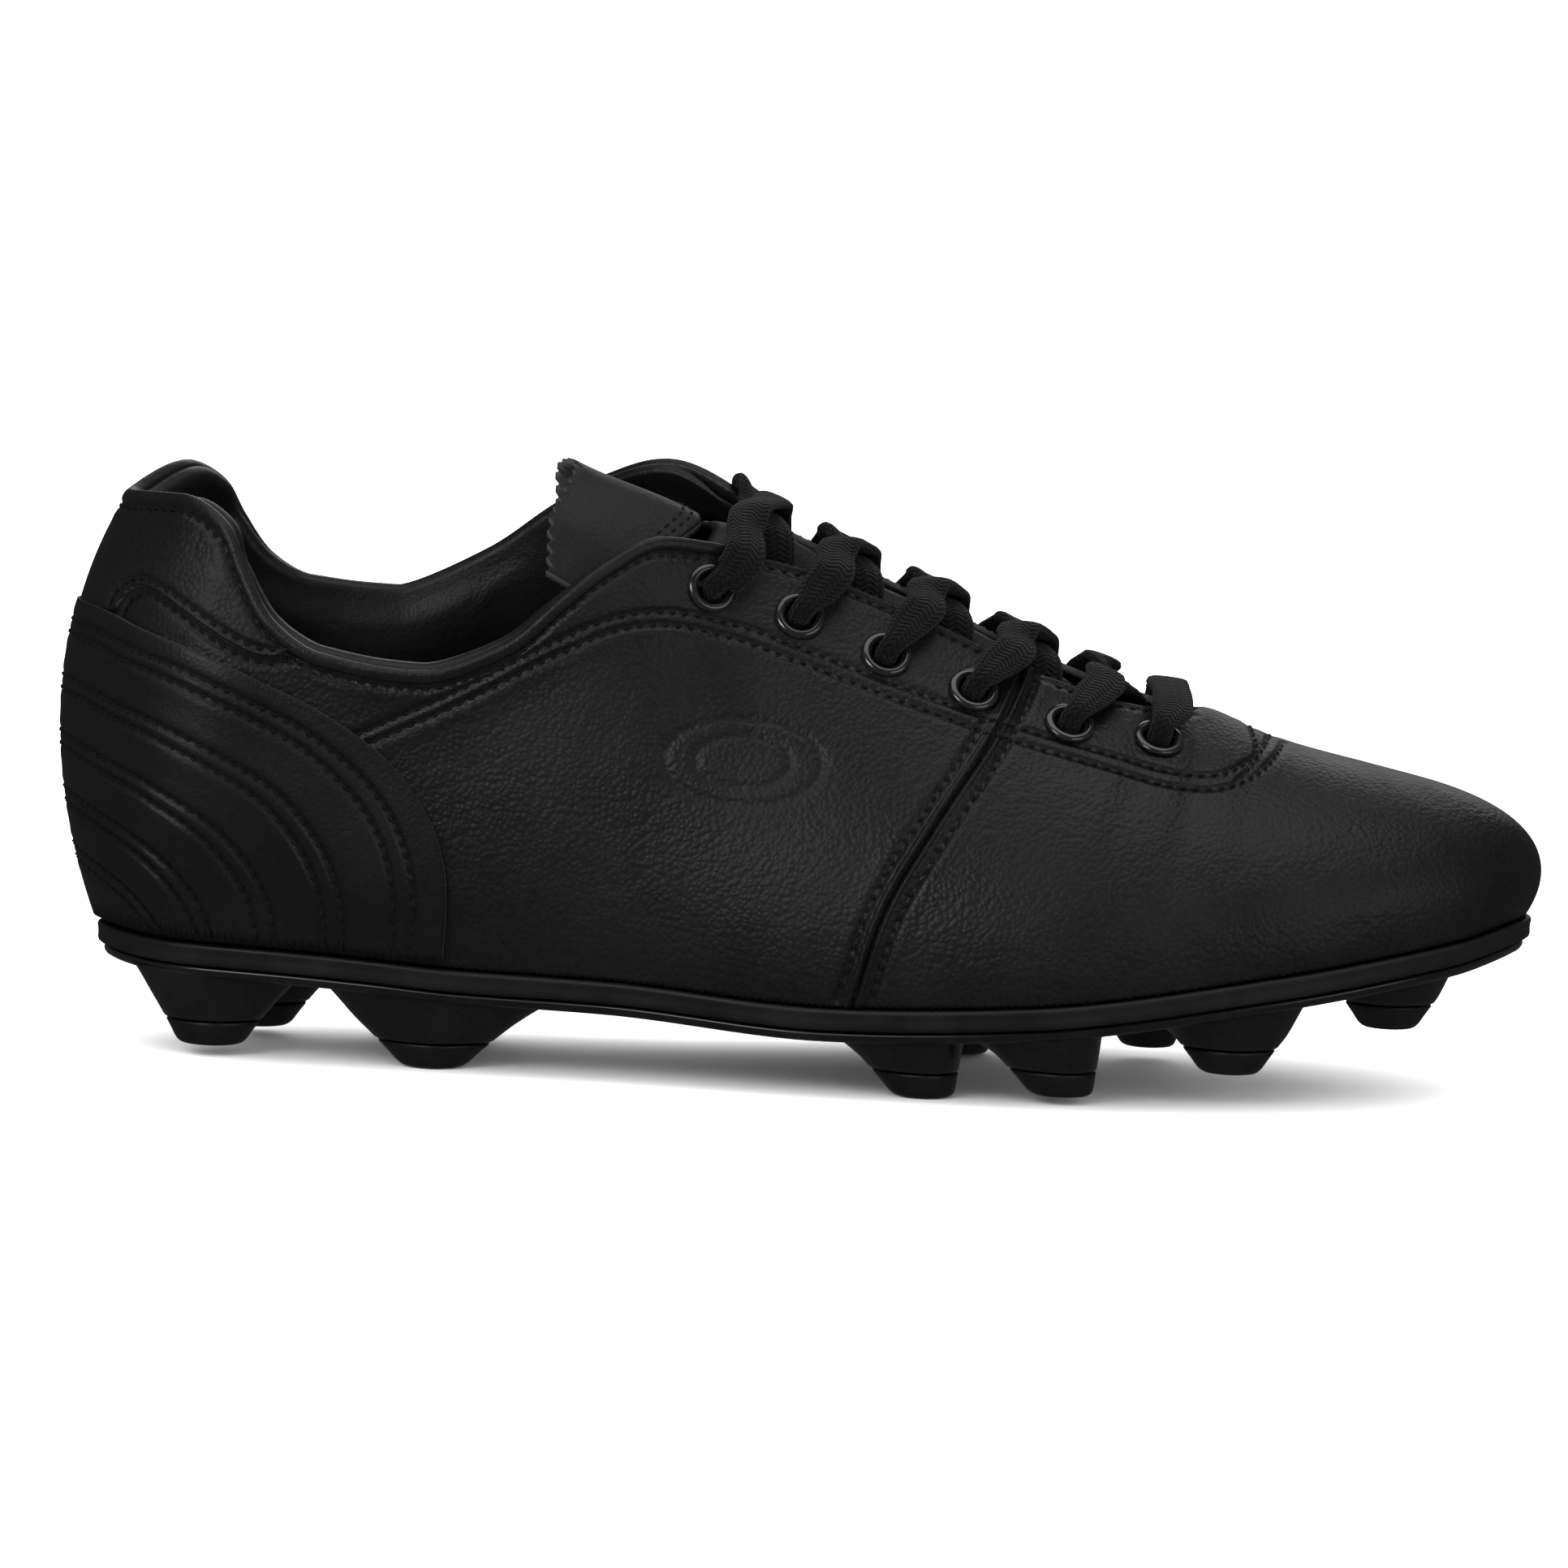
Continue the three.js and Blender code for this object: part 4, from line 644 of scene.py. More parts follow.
def braid(name, colour, light):
    """Flat braided polyester: V-shaped plaits, matt with a dusty sheen. U runs along it, in metres."""
    material, tree, shader, _ = new_material(name)
    uv = add_node(tree, "ShaderNodeUVMap", {"uv_map": "UVMap"}).outputs[0]
    parts = add_node(tree, "ShaderNodeSeparateXYZ", links={0: uv})
    pitch = 1.0  # millimetres along the lace between plaits, drawn a little coarse so that they show
    folded = maths(tree, "PINGPONG", parts.outputs[1], 1.25 * MM)
    slant = maths(tree, "MULTIPLY_ADD", folded, 0.8)
    tree.links.new(parts.outputs[0], slant.node.inputs[2])
    ribs = maths(tree, "SINE", maths(tree, "MULTIPLY", slant, 2 * math.pi * per_mm(pitch)), 0.0)
    across = maths(tree, "SINE", maths(tree, "MULTIPLY", parts.outputs[1], 2 * math.pi * per_mm(1.25)), 0.0)
    fuzz = add_node(tree, "ShaderNodeTexNoise", {"Scale": per_mm(0.35), "Detail": 3.0}, {"Vector": uv})
    knit = maths(tree, "ADD", ribs, maths(tree, "MULTIPLY", across, 0.7))
    height = maths(tree, "ADD", knit, fuzz.outputs[0])
    bump = add_node(tree, "ShaderNodeBump", {"Strength": 1.0, "Distance": 0.12 * MM}, {"Height": height})
    tree.links.new(bump.outputs[0], shader.inputs["Normal"])
    share = ramp(tree, height, (-1.0, 0.0), (2.2, 1.0))
    tree.links.new(mixed(tree, share, colour, light), shader.inputs["Base Color"])
    shader.inputs["Roughness"].default_value = 0.85
    shader.inputs["Sheen Weight"].default_value = 0.03
    shader.inputs["Sheen Roughness"].default_value = 0.5
    shader.inputs["Specular IOR Level"].default_value = 0.18
    return material


def foam_cloth():
    """Brushed polyester cloth bonded to foam: fine loops, matt."""
    material, tree, shader, where = new_material("brushed_liner_cloth")
    loops = add_node(tree, "ShaderNodeTexVoronoi", {"Scale": per_mm(0.9)}, {"Vector": where})
    bump = add_node(tree, "ShaderNodeBump", {"Strength": 0.8, "Distance": 0.2 * MM},
                    {"Height": loops.outputs[0]})
    tree.links.new(mixed(tree, loops.outputs[0], "#121214", "#26262a"), shader.inputs["Base Color"])
    tree.links.new(bump.outputs[0], shader.inputs["Normal"])
    shader.inputs["Roughness"].default_value = 0.95
    shader.inputs["Sheen Weight"].default_value = 0.3
    return material


def fibre_board():
    """Pressed leather fibre board: mottled brown-grey, dry."""
    material, tree, shader, where = new_material("leather_fibre_board")
    fibres = add_node(tree, "ShaderNodeTexNoise", {"Scale": per_mm(1.2), "Detail": 6.0}, {"Vector": where})
    tree.links.new(mixed(tree, fibres.outputs[0], "#2e2a26", "#5a534a"), shader.inputs["Base Color"])
    bump = add_node(tree, "ShaderNodeBump", {"Strength": 0.5, "Distance": 0.1 * MM},
                    {"Height": fibres.outputs[0]})
    tree.links.new(bump.outputs[0], shader.inputs["Normal"])
    shader.inputs["Roughness"].default_value = 0.9
    return material


def open_foam():
    """Open-cell foam behind the collar lining."""
    material, tree, shader, where = new_material("open_cell_foam")
    cells = add_node(tree, "ShaderNodeTexVoronoi", {"Scale": per_mm(0.8)}, {"Vector": where})
    tree.links.new(mixed(tree, cells.outputs[0], "#0e0e10", "#2c2c30"), shader.inputs["Base Color"])
    bump = add_node(tree, "ShaderNodeBump", {"Strength": 1.0, "Distance": 0.3 * MM},
                    {"Height": cells.outputs[0]})
    tree.links.new(bump.outputs[0], shader.inputs["Normal"])
    shader.inputs["Roughness"].default_value = 1.0
    return material


def rolled_steel():
    """Cold-rolled spring steel strip with drawn lines along it."""
    material, tree, shader, where = new_material("rolled_spring_steel")
    stretched = add_node(tree, "ShaderNodeMapping", {"Scale": (0.04, 1.0, 1.0)}, {"Vector": where})
    lines = add_node(tree, "ShaderNodeTexNoise", {"Scale": per_mm(0.4), "Detail": 3.0},
                     {"Vector": stretched.outputs[0]})
    tree.links.new(mixed(tree, lines.outputs[0], "#7d8085", "#a5a8ac"), shader.inputs["Base Color"])
    tree.links.new(ramp(tree, lines.outputs[0], (0.3, 0.25), (0.7, 0.42)), shader.inputs["Roughness"])
    shader.inputs["Metallic"].default_value = 1.0
    return material


def enamel():
    """Black nickel-enamelled brass: mirror-smooth with faint handling marks."""
    material, tree, shader, where = new_material("black_enamelled_brass")
    marks = add_node(tree, "ShaderNodeTexNoise", {"Scale": per_mm(1.5), "Detail": 4.0}, {"Vector": where})
    tree.links.new(mixed(tree, marks.outputs[0], "#070708", "#131315"), shader.inputs["Base Color"])
    tree.links.new(ramp(tree, marks.outputs[0], (0.3, 0.12), (0.7, 0.24)), shader.inputs["Roughness"])
    shader.inputs["Specular IOR Level"].default_value = 0.8
    shader.inputs["Coat Weight"].default_value = 0.6
    shader.inputs["Coat Roughness"].default_value = 0.08
    return material


def thread_material():
    """Waxed three-ply polyester thread."""
    material, tree, shader, where = new_material("waxed_thread")
    ply = add_node(tree, "ShaderNodeTexNoise", {"Scale": per_mm(0.4), "Detail": 2.0}, {"Vector": where})
    tree.links.new(mixed(tree, ply.outputs[0], "#030303", "#0b0b0b"), shader.inputs["Base Color"])
    bump = add_node(tree, "ShaderNodeBump", {"Strength": 0.6, "Distance": 0.08 * MM},
                    {"Height": ply.outputs[0]})
    tree.links.new(bump.outputs[0], shader.inputs["Normal"])
    shader.inputs["Roughness"].default_value = 0.7
    shader.inputs["Specular IOR Level"].default_value = 0.3
    return material


def studio_floor(colour):
    """Matt white paper sweep."""
    material, tree, shader, where = new_material("white_paper_floor")
    tooth = add_node(tree, "ShaderNodeTexNoise", {"Scale": per_mm(3), "Detail": 3.0}, {"Vector": where})
    bump = add_node(tree, "ShaderNodeBump", {"Strength": 0.1, "Distance": 0.1 * MM},
                    {"Height": tooth.outputs[0]})
    tree.links.new(bump.outputs[0], shader.inputs["Normal"])
    shader.inputs["Base Color"].default_value = colour
    shader.inputs["Roughness"].default_value = 0.9
    return material


MATERIALS = {}


def finish_of(name):
    """The boot's materials, each made once."""
    makers = {
        "upper": lambda: leather("full_grain_calf", "#070708", "#0d0d0e", 0.43, 0.95, 0.13),
        "cap": lambda: leather("smooth_heel_calf", "#070708", "#0c0c0d", 0.42, 0.8, 0.06, 0.15),
        "tongue": lambda: leather("tongue_nappa", "#0a0a0b", "#121213", 0.5, 0.7, 0.06, 0.3, False),
        "lining": lambda: leather("lining_leather", "#050506", "#0a0a0b", 0.42, 0.6, 0.04, 0.35, False),
        "binding": lambda: leather("binding_leather", "#080809", "#0f0f10", 0.38, 0.6, 0.05, 0.3, False),
        "edge": raw_edge,
        "midsole": lambda: moulded("matt_midsole_rubber", "#080809", "#0e0e0f", 0.5, 0.5, 0.04),
        "outsole": lambda: moulded("glossy_polyurethane", "#060606", "#0c0c0d", 0.24, 0.8, 0.015, 0.3),
        "stud": lambda: moulded("satin_polyurethane", "#070708", "#0d0d0e", 0.32, 0.6, 0.03),
        "lace": lambda: braid("braided_polyester", "#020202", "#070606"),
        "aglet": lambda: moulded("aglet_film", "#0b0b0c", "#141416", 0.15, 1.0, 0.02, 0.5),
        "liner": foam_cloth,
        "board": fibre_board,
        "foam": open_foam,
        "steel": rolled_steel,
        "eyelet": enamel,
        "thread": thread_material,
    }
    if name not in MATERIALS:
        MATERIALS[name] = makers[name]()
    return MATERIALS[name]


# ---------------------------------------------------------------- stitching
STITCH_LINES = []  # [piece, uv points, lift over the leather]


def beside(points, offset):
    """A side-view line moved sideways."""
    p = np.array(points, float)
    along = unit(np.gradient(p, axis=0))
    return p + np.stack([-along[:, 1], along[:, 0]], -1) * offset


def stitch_rows(piece, line, offsets, lift, both=True):
    """Records rows of stitches beside a side-view line, on one or both sides of the boot."""
    for offset in offsets:
        uv = on_outer(spline(beside(spline(line, 40), offset), 60))
        STITCH_LINES.append((piece, uv, lift))
        if both:
            STITCH_LINES.append((piece, flipped(uv), lift))


def line_points(uv, lift):
    """A stitch line laid on the leather, every 0.6 mm."""
    rough = layer(uv[:, 0], uv[:, 1], -lift)
    length = np.linalg.norm(np.diff(rough, axis=0), axis=1).sum()
    at = resampled(np.concatenate([rough, uv], -1), max(int(length / 0.6), 4))
    return at[:, :3], at[:, 3:]


def seam_targets(piece):
    found = [line_points(uv, lift)[0] for owner, uv, lift in STITCH_LINES if owner == piece]
    return np.concatenate(found) if found else np.zeros((0, 3))


def stitches(name, runs, body="boot", slot="woven_polyester"):
    """Short saddles of thread along runs of (points, normals)."""
    points, faces = [], []
    sides = 6
    for line, normals in runs:
        run = np.concatenate([[0], np.cumsum(np.linalg.norm(np.diff(line, axis=0), axis=1))])
        for start in np.arange(0.4, run[-1] - STITCH_LENGTH, STITCH_PITCH):
            rings = []
            for share in (0.0, 0.18, 0.5, 0.82, 1.0):
                at = start + share * STITCH_LENGTH
                p = np.array([np.interp(at, run, line[:, k]) for k in range(3)])
                n = unit(np.array([np.interp(at, run, normals[:, k]) for k in range(3)]))
                q = np.array([np.interp(at + 0.1, run, line[:, k]) for k in range(3)])
                across = unit(np.cross(n, q - p))
                sunk = -0.35 + 0.42 * math.sin(math.pi * share)
                radius = THREAD_RADIUS * (0.55 + 0.45 * math.sin(math.pi * share))
                turn = 2 * np.pi * np.arange(sides) / sides
                ring = p + n * sunk + radius * (np.cos(turn)[:, None] * across + np.sin(turn)[:, None] * n)
                rings.append(ring)
            found, quads = swept(rings)
            base = sum(len(p) for p in points)
            points.append(found)
            faces.extend(tuple(base + k for k in face) for face in quads)
    return new_object(name, np.concatenate(points), faces, materials=[finish_of("thread")], body=body,
                      slot=slot)


def draw_stitch_lines():
    """All the seams of the upper, before its pieces are made."""
    STITCH_LINES.clear()
    stitch_rows("vamp", VAMP_SEAM, [VAMP_SEAM_STITCH], 0)
    stitch_rows("quarter", VAMP_SEAM, [-VAMP_SEAM_STITCH], 0)
    seam = on_outer(spline(VAMP_SEAM, 30))
    for offset in (-EYESTAY_ROW, EYESTAY_ROW):
        line = spline(beside(spline(EYESTAY_STITCH, 60), offset), 140)
        for sign in (1, -1):
            uv = on_outer(line)
            ahead = uv[:, 0] < np.interp(uv[:, 1], seam[::-1, 1], seam[::-1, 0])
            for piece, part in (("vamp", uv[ahead]), ("quarter", uv[~ahead])):
                STITCH_LINES.append((piece, part if sign > 0 else flipped(part), 0))
    stitch_rows("vamp", FACING_STITCH, [0], 0)
    for first, last, piece in ((2.62, 3.42, "vamp"), (3.6, 4.72, "quarter")):
        u = np.linspace(first, last, 40)
        uv = np.stack([u, inset_v(u, 1.7)], -1)
        STITCH_LINES.append((piece, uv, 0))
        STITCH_LINES.append((piece, flipped(uv), 0))
    u = np.linspace(4.85, 11.15, 200)
    topline = np.stack([u, inset_v(u, 2.4)], -1)
    over_panel = (u > 6.55) & (u < 9.45)
    for part in (topline[u <= 6.55], topline[u >= 9.45]):
        STITCH_LINES.append(("quarter", part, 0))
    STITCH_LINES.append(("collar", topline[over_panel], COLLAR_LIFT))
    stitch_rows("collar", COLLAR_SEAM, [COLLAR_SEAM_STITCH], COLLAR_LIFT)
    stitch_rows("quarter", COLLAR_SEAM, [-COLLAR_SEAM_STITCH], 0)
    for k in range(QUILTED_ROWS):
        for offset in (0, -0.035):
            row = quilting(0.94 - 0.13 * k + offset, 0.945 - 0.15 * k + offset)
            STITCH_LINES.append(("heel_cap", row, CAP_LIFT))


def inset_v(u, inset):
    """The v at a distance in millimetres below the edge."""
    steps = np.linspace(1, 0.4, 61)
    line = face_point(np.asarray(u)[:, None], steps[None, :])
    run = np.concatenate([np.zeros((len(u), 1)),
                          np.cumsum(np.linalg.norm(np.diff(line, axis=1), axis=2), axis=1)], 1)
    return np.array([np.interp(inset, run[i], steps) for i in range(len(u))])


# ---------------------------------------------------------------- leather pieces


def rolled(rim, radius):
    """How far a turned edge falls away at a distance from the rim."""
    near = 1 - np.clip(rim / radius, 0, 1)
    return radius * (1 - np.sqrt(np.maximum(1 - near**2, 0)))


def border_of(points, top=True):
    parts = [points[0], points[-1], points[:, 0]]
    if top:
        parts.append(points[:, -1])
    return np.concatenate(parts)


def eyelet_frames():
    """Centre and normal of each eyelet, by side and row from the toe."""
    found = {}
    for side, sign in (("outer", -1), ("inner", 1)):
        for row in range(EYELETS):
            inset = EYELET_INSET - EYELET_RISE * float(smooth(row, EYELETS - 2.7, EYELETS - 1))
            found[side, row] = on_eyestay(TONGUE_ROOT - row * EYELET_PITCH, sign, inset, 0)
    return found


def punched(grids, places, radius):
    """The cells to keep round the eyelet holes, with the hole edges pulled on to circles."""
    outer = grids[0]
    middles = (outer[:-1, :-1] + outer[1:, 1:] + outer[:-1, 1:] + outer[1:, :-1]) / 4
    keep = np.ones(middles.shape[:2], bool)
    for centre, normal in places:
        away = middles - centre
        flat = away - (away @ normal)[..., None] * normal
        hole = (np.linalg.norm(flat, axis=-1) < radius) & (np.abs(away @ normal) < 8)
        keep &= ~hole
        if not hole.any():
            continue
        lost = np.zeros(outer.shape[:2], int)
        for di in (0, 1):
            for dj in (0, 1):
                lost[di : di + hole.shape[0], dj : dj + hole.shape[1]] += hole
        ring = (lost > 0) & (lost < 4)
        for grid in grids:
            offset = grid[ring] - centre
            along = (offset @ normal)[:, None] * normal
            grid[ring] = centre + along + unit(offset - along) * radius
    return keep


def leather_piece(name, piece, u, v, thickness, lift, material, node, roll=0.55, turned_in=False, holes=(),
                  zipped=None, merge_crest=False, top_rim=True, body="boot", welts=(), motif=None):
    """One cut piece of leather over stations u and v, with turned edges, puckered seams and eyelet holes."""
    base = layer(u, v, -lift)
    rim = distance_to(base, border_of(base, top_rim)[::2])
    seam = distance_to(base, seam_targets(piece))
    welt = distance_to(base, np.concatenate([base[k] for k in welts])) if welts else np.full(rim.shape, 99.0)
    fold = -WELT_HEIGHT * np.exp(-(((welt - WELT_MIDDLE) / WELT_SPREAD) ** 2))
    pucker = 0.2 * np.exp(-((seam / 0.8) ** 2)) - 0.08 * np.exp(-(((seam - 1.9) / 1.0) ** 2))
    stamped = motif(base) if motif else 0
    turned = np.where(welt < 4, np.minimum(rolled(rim, roll), rolled(rim, 0.35)), rolled(rim, roll))
    outer = layer(u, v, -lift + turned + pucker + fold + stamped)
    inner = layer(u, v, -lift + thickness)
    if turned_in:
        outer, inner = lasted(outer, inner, u)
    keep = punched([outer, inner], holes, PUNCHED_HOLE) if holes else None
    points, faces, slots = grid_solid(outer, inner, keep, zipped=zipped)
    obj = new_object(name, points, faces, slots, [finish_of(material), finish_of("edge")], body, node,
                     "full_grain_leather")
    if turned_in:
        seam = np.concatenate([np.full((len(seam), 2), 99.0), seam], 1)
    store(obj, "seam", np.concatenate([seam.ravel(), np.full(seam.size, 99.0)]))
    if merge_crest:
        cleaned(obj, outward_faces=False)
    return obj


def blind_stamp(points):
    """Depth of two plain stamped ovals, one in the other, on the outer quarter."""
    length = bpy.context.scene.boot_upper.motif / MM
    x, z = points[..., 0] - STAMP_CENTRE[0], points[..., 2] - STAMP_CENTRE[1]
    away = np.hypot(x, z * STAMP_SLIMNESS)
    depth = sum(np.exp(-((np.abs(away - share * length / 2) / 0.9) ** 4)) for share in (0.6, 1.0))
    return STAMP_DEPTH * np.where(points[..., 1] < 0, depth, 0)


def lasted(outer, inner, u):
    """Adds the margin that is turned in under the insole board."""
    foot = u[:, 0]
    rows_out = [on_sole(foot, np.full(len(foot), -TURNED_IN), 0), on_sole(foot, np.full(len(foot), -0.8), 0)]
    rows_in = [on_sole(foot, np.full(len(foot), -TURNED_IN), LEATHER),
               on_sole(foot, np.full(len(foot), -2.0), LEATHER)]
    outer = np.concatenate([np.stack(rows_out, 1), outer], 1)
    inner = np.concatenate([np.stack(rows_in, 1), inner], 1)
    return outer, inner


def vamp_edge(v):
    """Station of the vamp seam at each v."""
    seam = on_outer(spline(VAMP_SEAM, 40))
    order = np.argsort(seam[:, 1])
    return np.interp(v, seam[order, 1], seam[order, 0])


def even_v(count):
    """Rows of v, closer together near the top edge."""
    return np.concatenate([np.linspace(0, 0.96, count), [0.973, 0.984, 0.992, 0.997, 1.0]])


def heel_cap_edge(count):
    """The edge as [station, z] from the back to the front of the seat."""
    side = on_outer(HEEL_CAP_SIDE)[:, 0]
    front = [[u, row[1]] for u, row in zip(side, HEEL_CAP_SIDE)]
    line = spline(np.array([*HEEL_CAP_BACK, *front]) * STATION_SCALE, 120)
    for _ in range(30):
        line[1:-1] = (line[:-2] + 2 * line[1:-1] + line[2:]) / 4
    return resampled(line, count) / STATION_SCALE


def quilting(along, up):
    """The heel cap's edge drawn in towards the seat."""
    rows = heel_cap_edge(90)
    u = 8 - (8 - rows[:, 0]) * along
    z = HEEL_SEAT + (rows[:, 1] - HEEL_SEAT) * up
    above = z > sole_height(feather_curve(u)[:, 0]) + 1.2
    half = np.stack([u[above], v_at_height(u[above], z[above])], -1)
    return np.concatenate([flipped(half)[::-1], half[1:]])[::-1]


def eyestay_station(x, side):
    low, high = THROAT, 6.0
    for _ in range(30):
        middle = (low + high) / 2
        if edge(middle if side < 0 else STATIONS - middle, False)[0] > x:
            low = middle
        else:
            high = middle
    return (low + high) / 2 if side < 0 else STATIONS - (low + high) / 2


def on_eyestay(x, side, inset, depth):
    """Point and normal at a distance below the eyestay edge."""
    u = eyestay_station(x, side)
    steps = np.linspace(1, 0, 161)
    line = face_point(np.full(161, u), steps, False)
    run = np.concatenate([[0], np.cumsum(np.linalg.norm(np.diff(line, axis=0), axis=1))])
    v = np.interp(inset, run, steps)
    normal = face_normal(u, v, False)
    return face_point(u, v, False) - normal * depth, normal


# ---------------------------------------------------------------- settings
class BootUpperSettings(bpy.types.PropertyGroup):
    """Sizes of the upper's details."""

    columns: bpy.props.IntProperty(name="Columns", description="Mesh columns round the vamp", default=420,
                                   min=80)
    rows: bpy.props.IntProperty(name="Rows", description="Mesh rows up the side", default=118, min=20)
    binding: bpy.props.FloatProperty(
        name="Binding", description="Half height of the rolled topline binding", default=2.0 * MM,
        unit="LENGTH",
    )
    motif: bpy.props.FloatProperty(
        name="Motif", description="Length of the blind-stamped oval on the quarter", default=30 * MM,
        unit="LENGTH",
    )


class BootLaceSettings(bpy.types.PropertyGroup):
    """Sizes of the lace."""

    width: bpy.props.FloatProperty(
        name="Width", description="Width of the flat lace", default=8.2 * MM, unit="LENGTH"
    )
    thickness: bpy.props.FloatProperty(
        name="Thickness", description="Thickness of the flat lace", default=2.3 * MM, unit="LENGTH"
    )


class BootStageSettings(bpy.types.PropertyGroup):
    """Camera, lights and floor."""

    elevation: bpy.props.FloatProperty(
        name="Elevation", description="Height angle of the camera", default=math.radians(6), subtype="ANGLE"
    )
    roll: bpy.props.FloatProperty(
        name="Roll", description="Tilt of the camera about its line of sight", default=math.radians(2.4),
        subtype="ANGLE",
    )
    distance: bpy.props.FloatProperty(
        name="Distance", description="Camera to the middle of the boot", default=1.5, unit="LENGTH"
    )
    key: bpy.props.FloatProperty(name="Key", description="Power of the key light", default=5.6,
                                 subtype="POWER")
    reflected: bpy.props.FloatProperty(name="Reflected",
                                       description="Brightness of the studio in reflections",
                                       default=0.06)
    floor: bpy.props.FloatVectorProperty(
        name="Floor", description="Colour of the floor", default=linear("#fcfcfc"), size=4, subtype="COLOR"
    )


# ---------------------------------------------------------------- operators
class BootStage(bpy.types.Operator):
    """Adds the camera, the lights and the white floor"""

    bl_idname = "boot.stage"
    bl_label = "Stage"

    def execute(self, context):
        settings = context.scene.boot_stage
        add_camera(context, settings)
        add_floor(settings)
        add_lights(context, settings)
        return {"FINISHED"}


def add_camera(context, settings):
    target = Vector((-0.003, 0, 0.0546))
    back = Vector((0, -math.cos(settings.elevation), math.sin(settings.elevation)))
    camera = bpy.data.objects.new("camera", bpy.data.cameras.new("camera"))
    context.scene.collection.objects.link(camera)
    camera.data.lens = 178.3
    camera.data.sensor_width = 36
    camera.location = target + back * settings.distance
    camera.rotation_mode = "QUATERNION"
    level = (-back).to_track_quat("-Z", "Y")
    camera.rotation_quaternion = level @ Quaternion((0, 0, 1), settings.roll)
    context.scene.camera = camera


def add_floor(settings):
    bpy.ops.object.select_all(action="DESELECT")
    bpy.ops.mesh.primitive_plane_add(size=60, location=(0, 0, -0.0002))
    floor = bpy.context.object
    floor.name = "floor"
    floor.visible_glossy = False
    floor.data.materials.append(studio_floor(settings.floor))


def add_lights(context, settings):
    """Soft boxes: one overhead, a key from the front left, a weaker fill from the right, one behind."""
    boxes = [
        ("overhead", (0.0, -0.15, 1.5), 1.6, 1.1),
        ("key", (-0.75, -1.25, 0.85), 0.7, 1.0),
        ("fill", (1.1, -1.1, 0.55), 0.9, 0.35),
        ("behind", (0.2, 1.5, 0.9), 1.2, 0.7),
    ]
    for name, place, size, share in boxes:
        light = bpy.data.objects.new(name, bpy.data.lights.new(name, "AREA"))
        light.data.shape = "RECTANGLE"
        light.data.size = size
        light.data.size_y = size * 0.7
        light.data.energy = settings.key * share
        light.location = place
        aim = Vector((0, 0, 0.05)) - Vector(place)
        light.rotation_mode = "QUATERNION"
        light.rotation_quaternion = aim.to_track_quat("-Z", "Y")
        context.scene.collection.objects.link(light)
    world = bpy.data.worlds.new("studio")
    context.scene.world = world
    world.use_nodes = True
    add_surroundings(world.node_tree, settings)
    context.scene.view_settings.view_transform = "Standard"


def add_surroundings(tree, settings):
    """A white studio that shows dimly in reflections."""
    tree.nodes.clear()
    path = add_node(tree, "ShaderNodeLightPath")
    seen = maths(tree, "MULTIPLY", path.outputs["Is Camera Ray"], 1.0 - FLOOR_LIGHT)
    mirrored_share = maths(tree, "MULTIPLY", path.outputs["Is Glossy Ray"], settings.reflected - FLOOR_LIGHT)
    strength = maths(tree, "ADD", maths(tree, "ADD", seen, mirrored_share), FLOOR_LIGHT)
    light = add_node(tree, "ShaderNodeBackground", {"Color": (1, 1, 1, 1)}, {"Strength": strength})
    add_node(tree, "ShaderNodeOutputWorld", links={"Surface": light.outputs[0]})


class BootFrameFinishes(bpy.types.Operator):
    """Gives the hidden pieces that stay as they are their own materials"""

    bl_idname = "boot.frame_finishes"
    bl_label = "Inner pieces"

    def execute(self, context):
        kept = {
            "insole_board": "board", "heel_counter": "board", "toe_puff": "board",
            "eyelet_facing_outer": "board", "eyelet_facing_inner": "board",
            "collar_foam": "foam", "shank": "steel",
        }
        for node, finish in kept.items():
            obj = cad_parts[node]
            obj.data.materials.clear()
            obj.data.materials.append(finish_of(finish))
        return {"FINISHED"}


class BootVamp(bpy.types.Operator):
    """Cuts and lasts the vamp over the toes"""

    bl_idname = "boot.vamp"
    bl_label = "Vamp"

    def execute(self, context):
        settings = context.scene.boot_upper
        v = even_v(settings.rows)
        reach = vamp_edge(v) - 0.004
        throat = THROAT / reach[-1]
        near = NEAR_SEAM / 150
        front = np.linspace(0, throat, int(settings.columns * 0.36))
        side = np.linspace(throat, 1, int(settings.columns * 0.16))[1:]
        side = np.unique(np.concatenate([side, 1 - near]))
        half = np.concatenate([front, side])
        share = np.concatenate([-half[:0:-1], half])
        u = share[:, None] * reach[None, :]
        v = np.broadcast_to(v, u.shape)
        zipped = (np.abs(u[:-1, -1]) <= THROAT + 1e-6) & (np.abs(u[1:, -1]) <= THROAT + 1e-6)
        holes = [place for (_, row), place in eyelet_frames().items() if row < 2]
        leather_piece("vamp", "vamp", u, v, LEATHER, 0, "upper", ["vamp"], turned_in=True, holes=holes,
                      zipped=zipped, merge_crest=True, top_rim=False, welts=(0, -1))
        return {"FINISHED"}


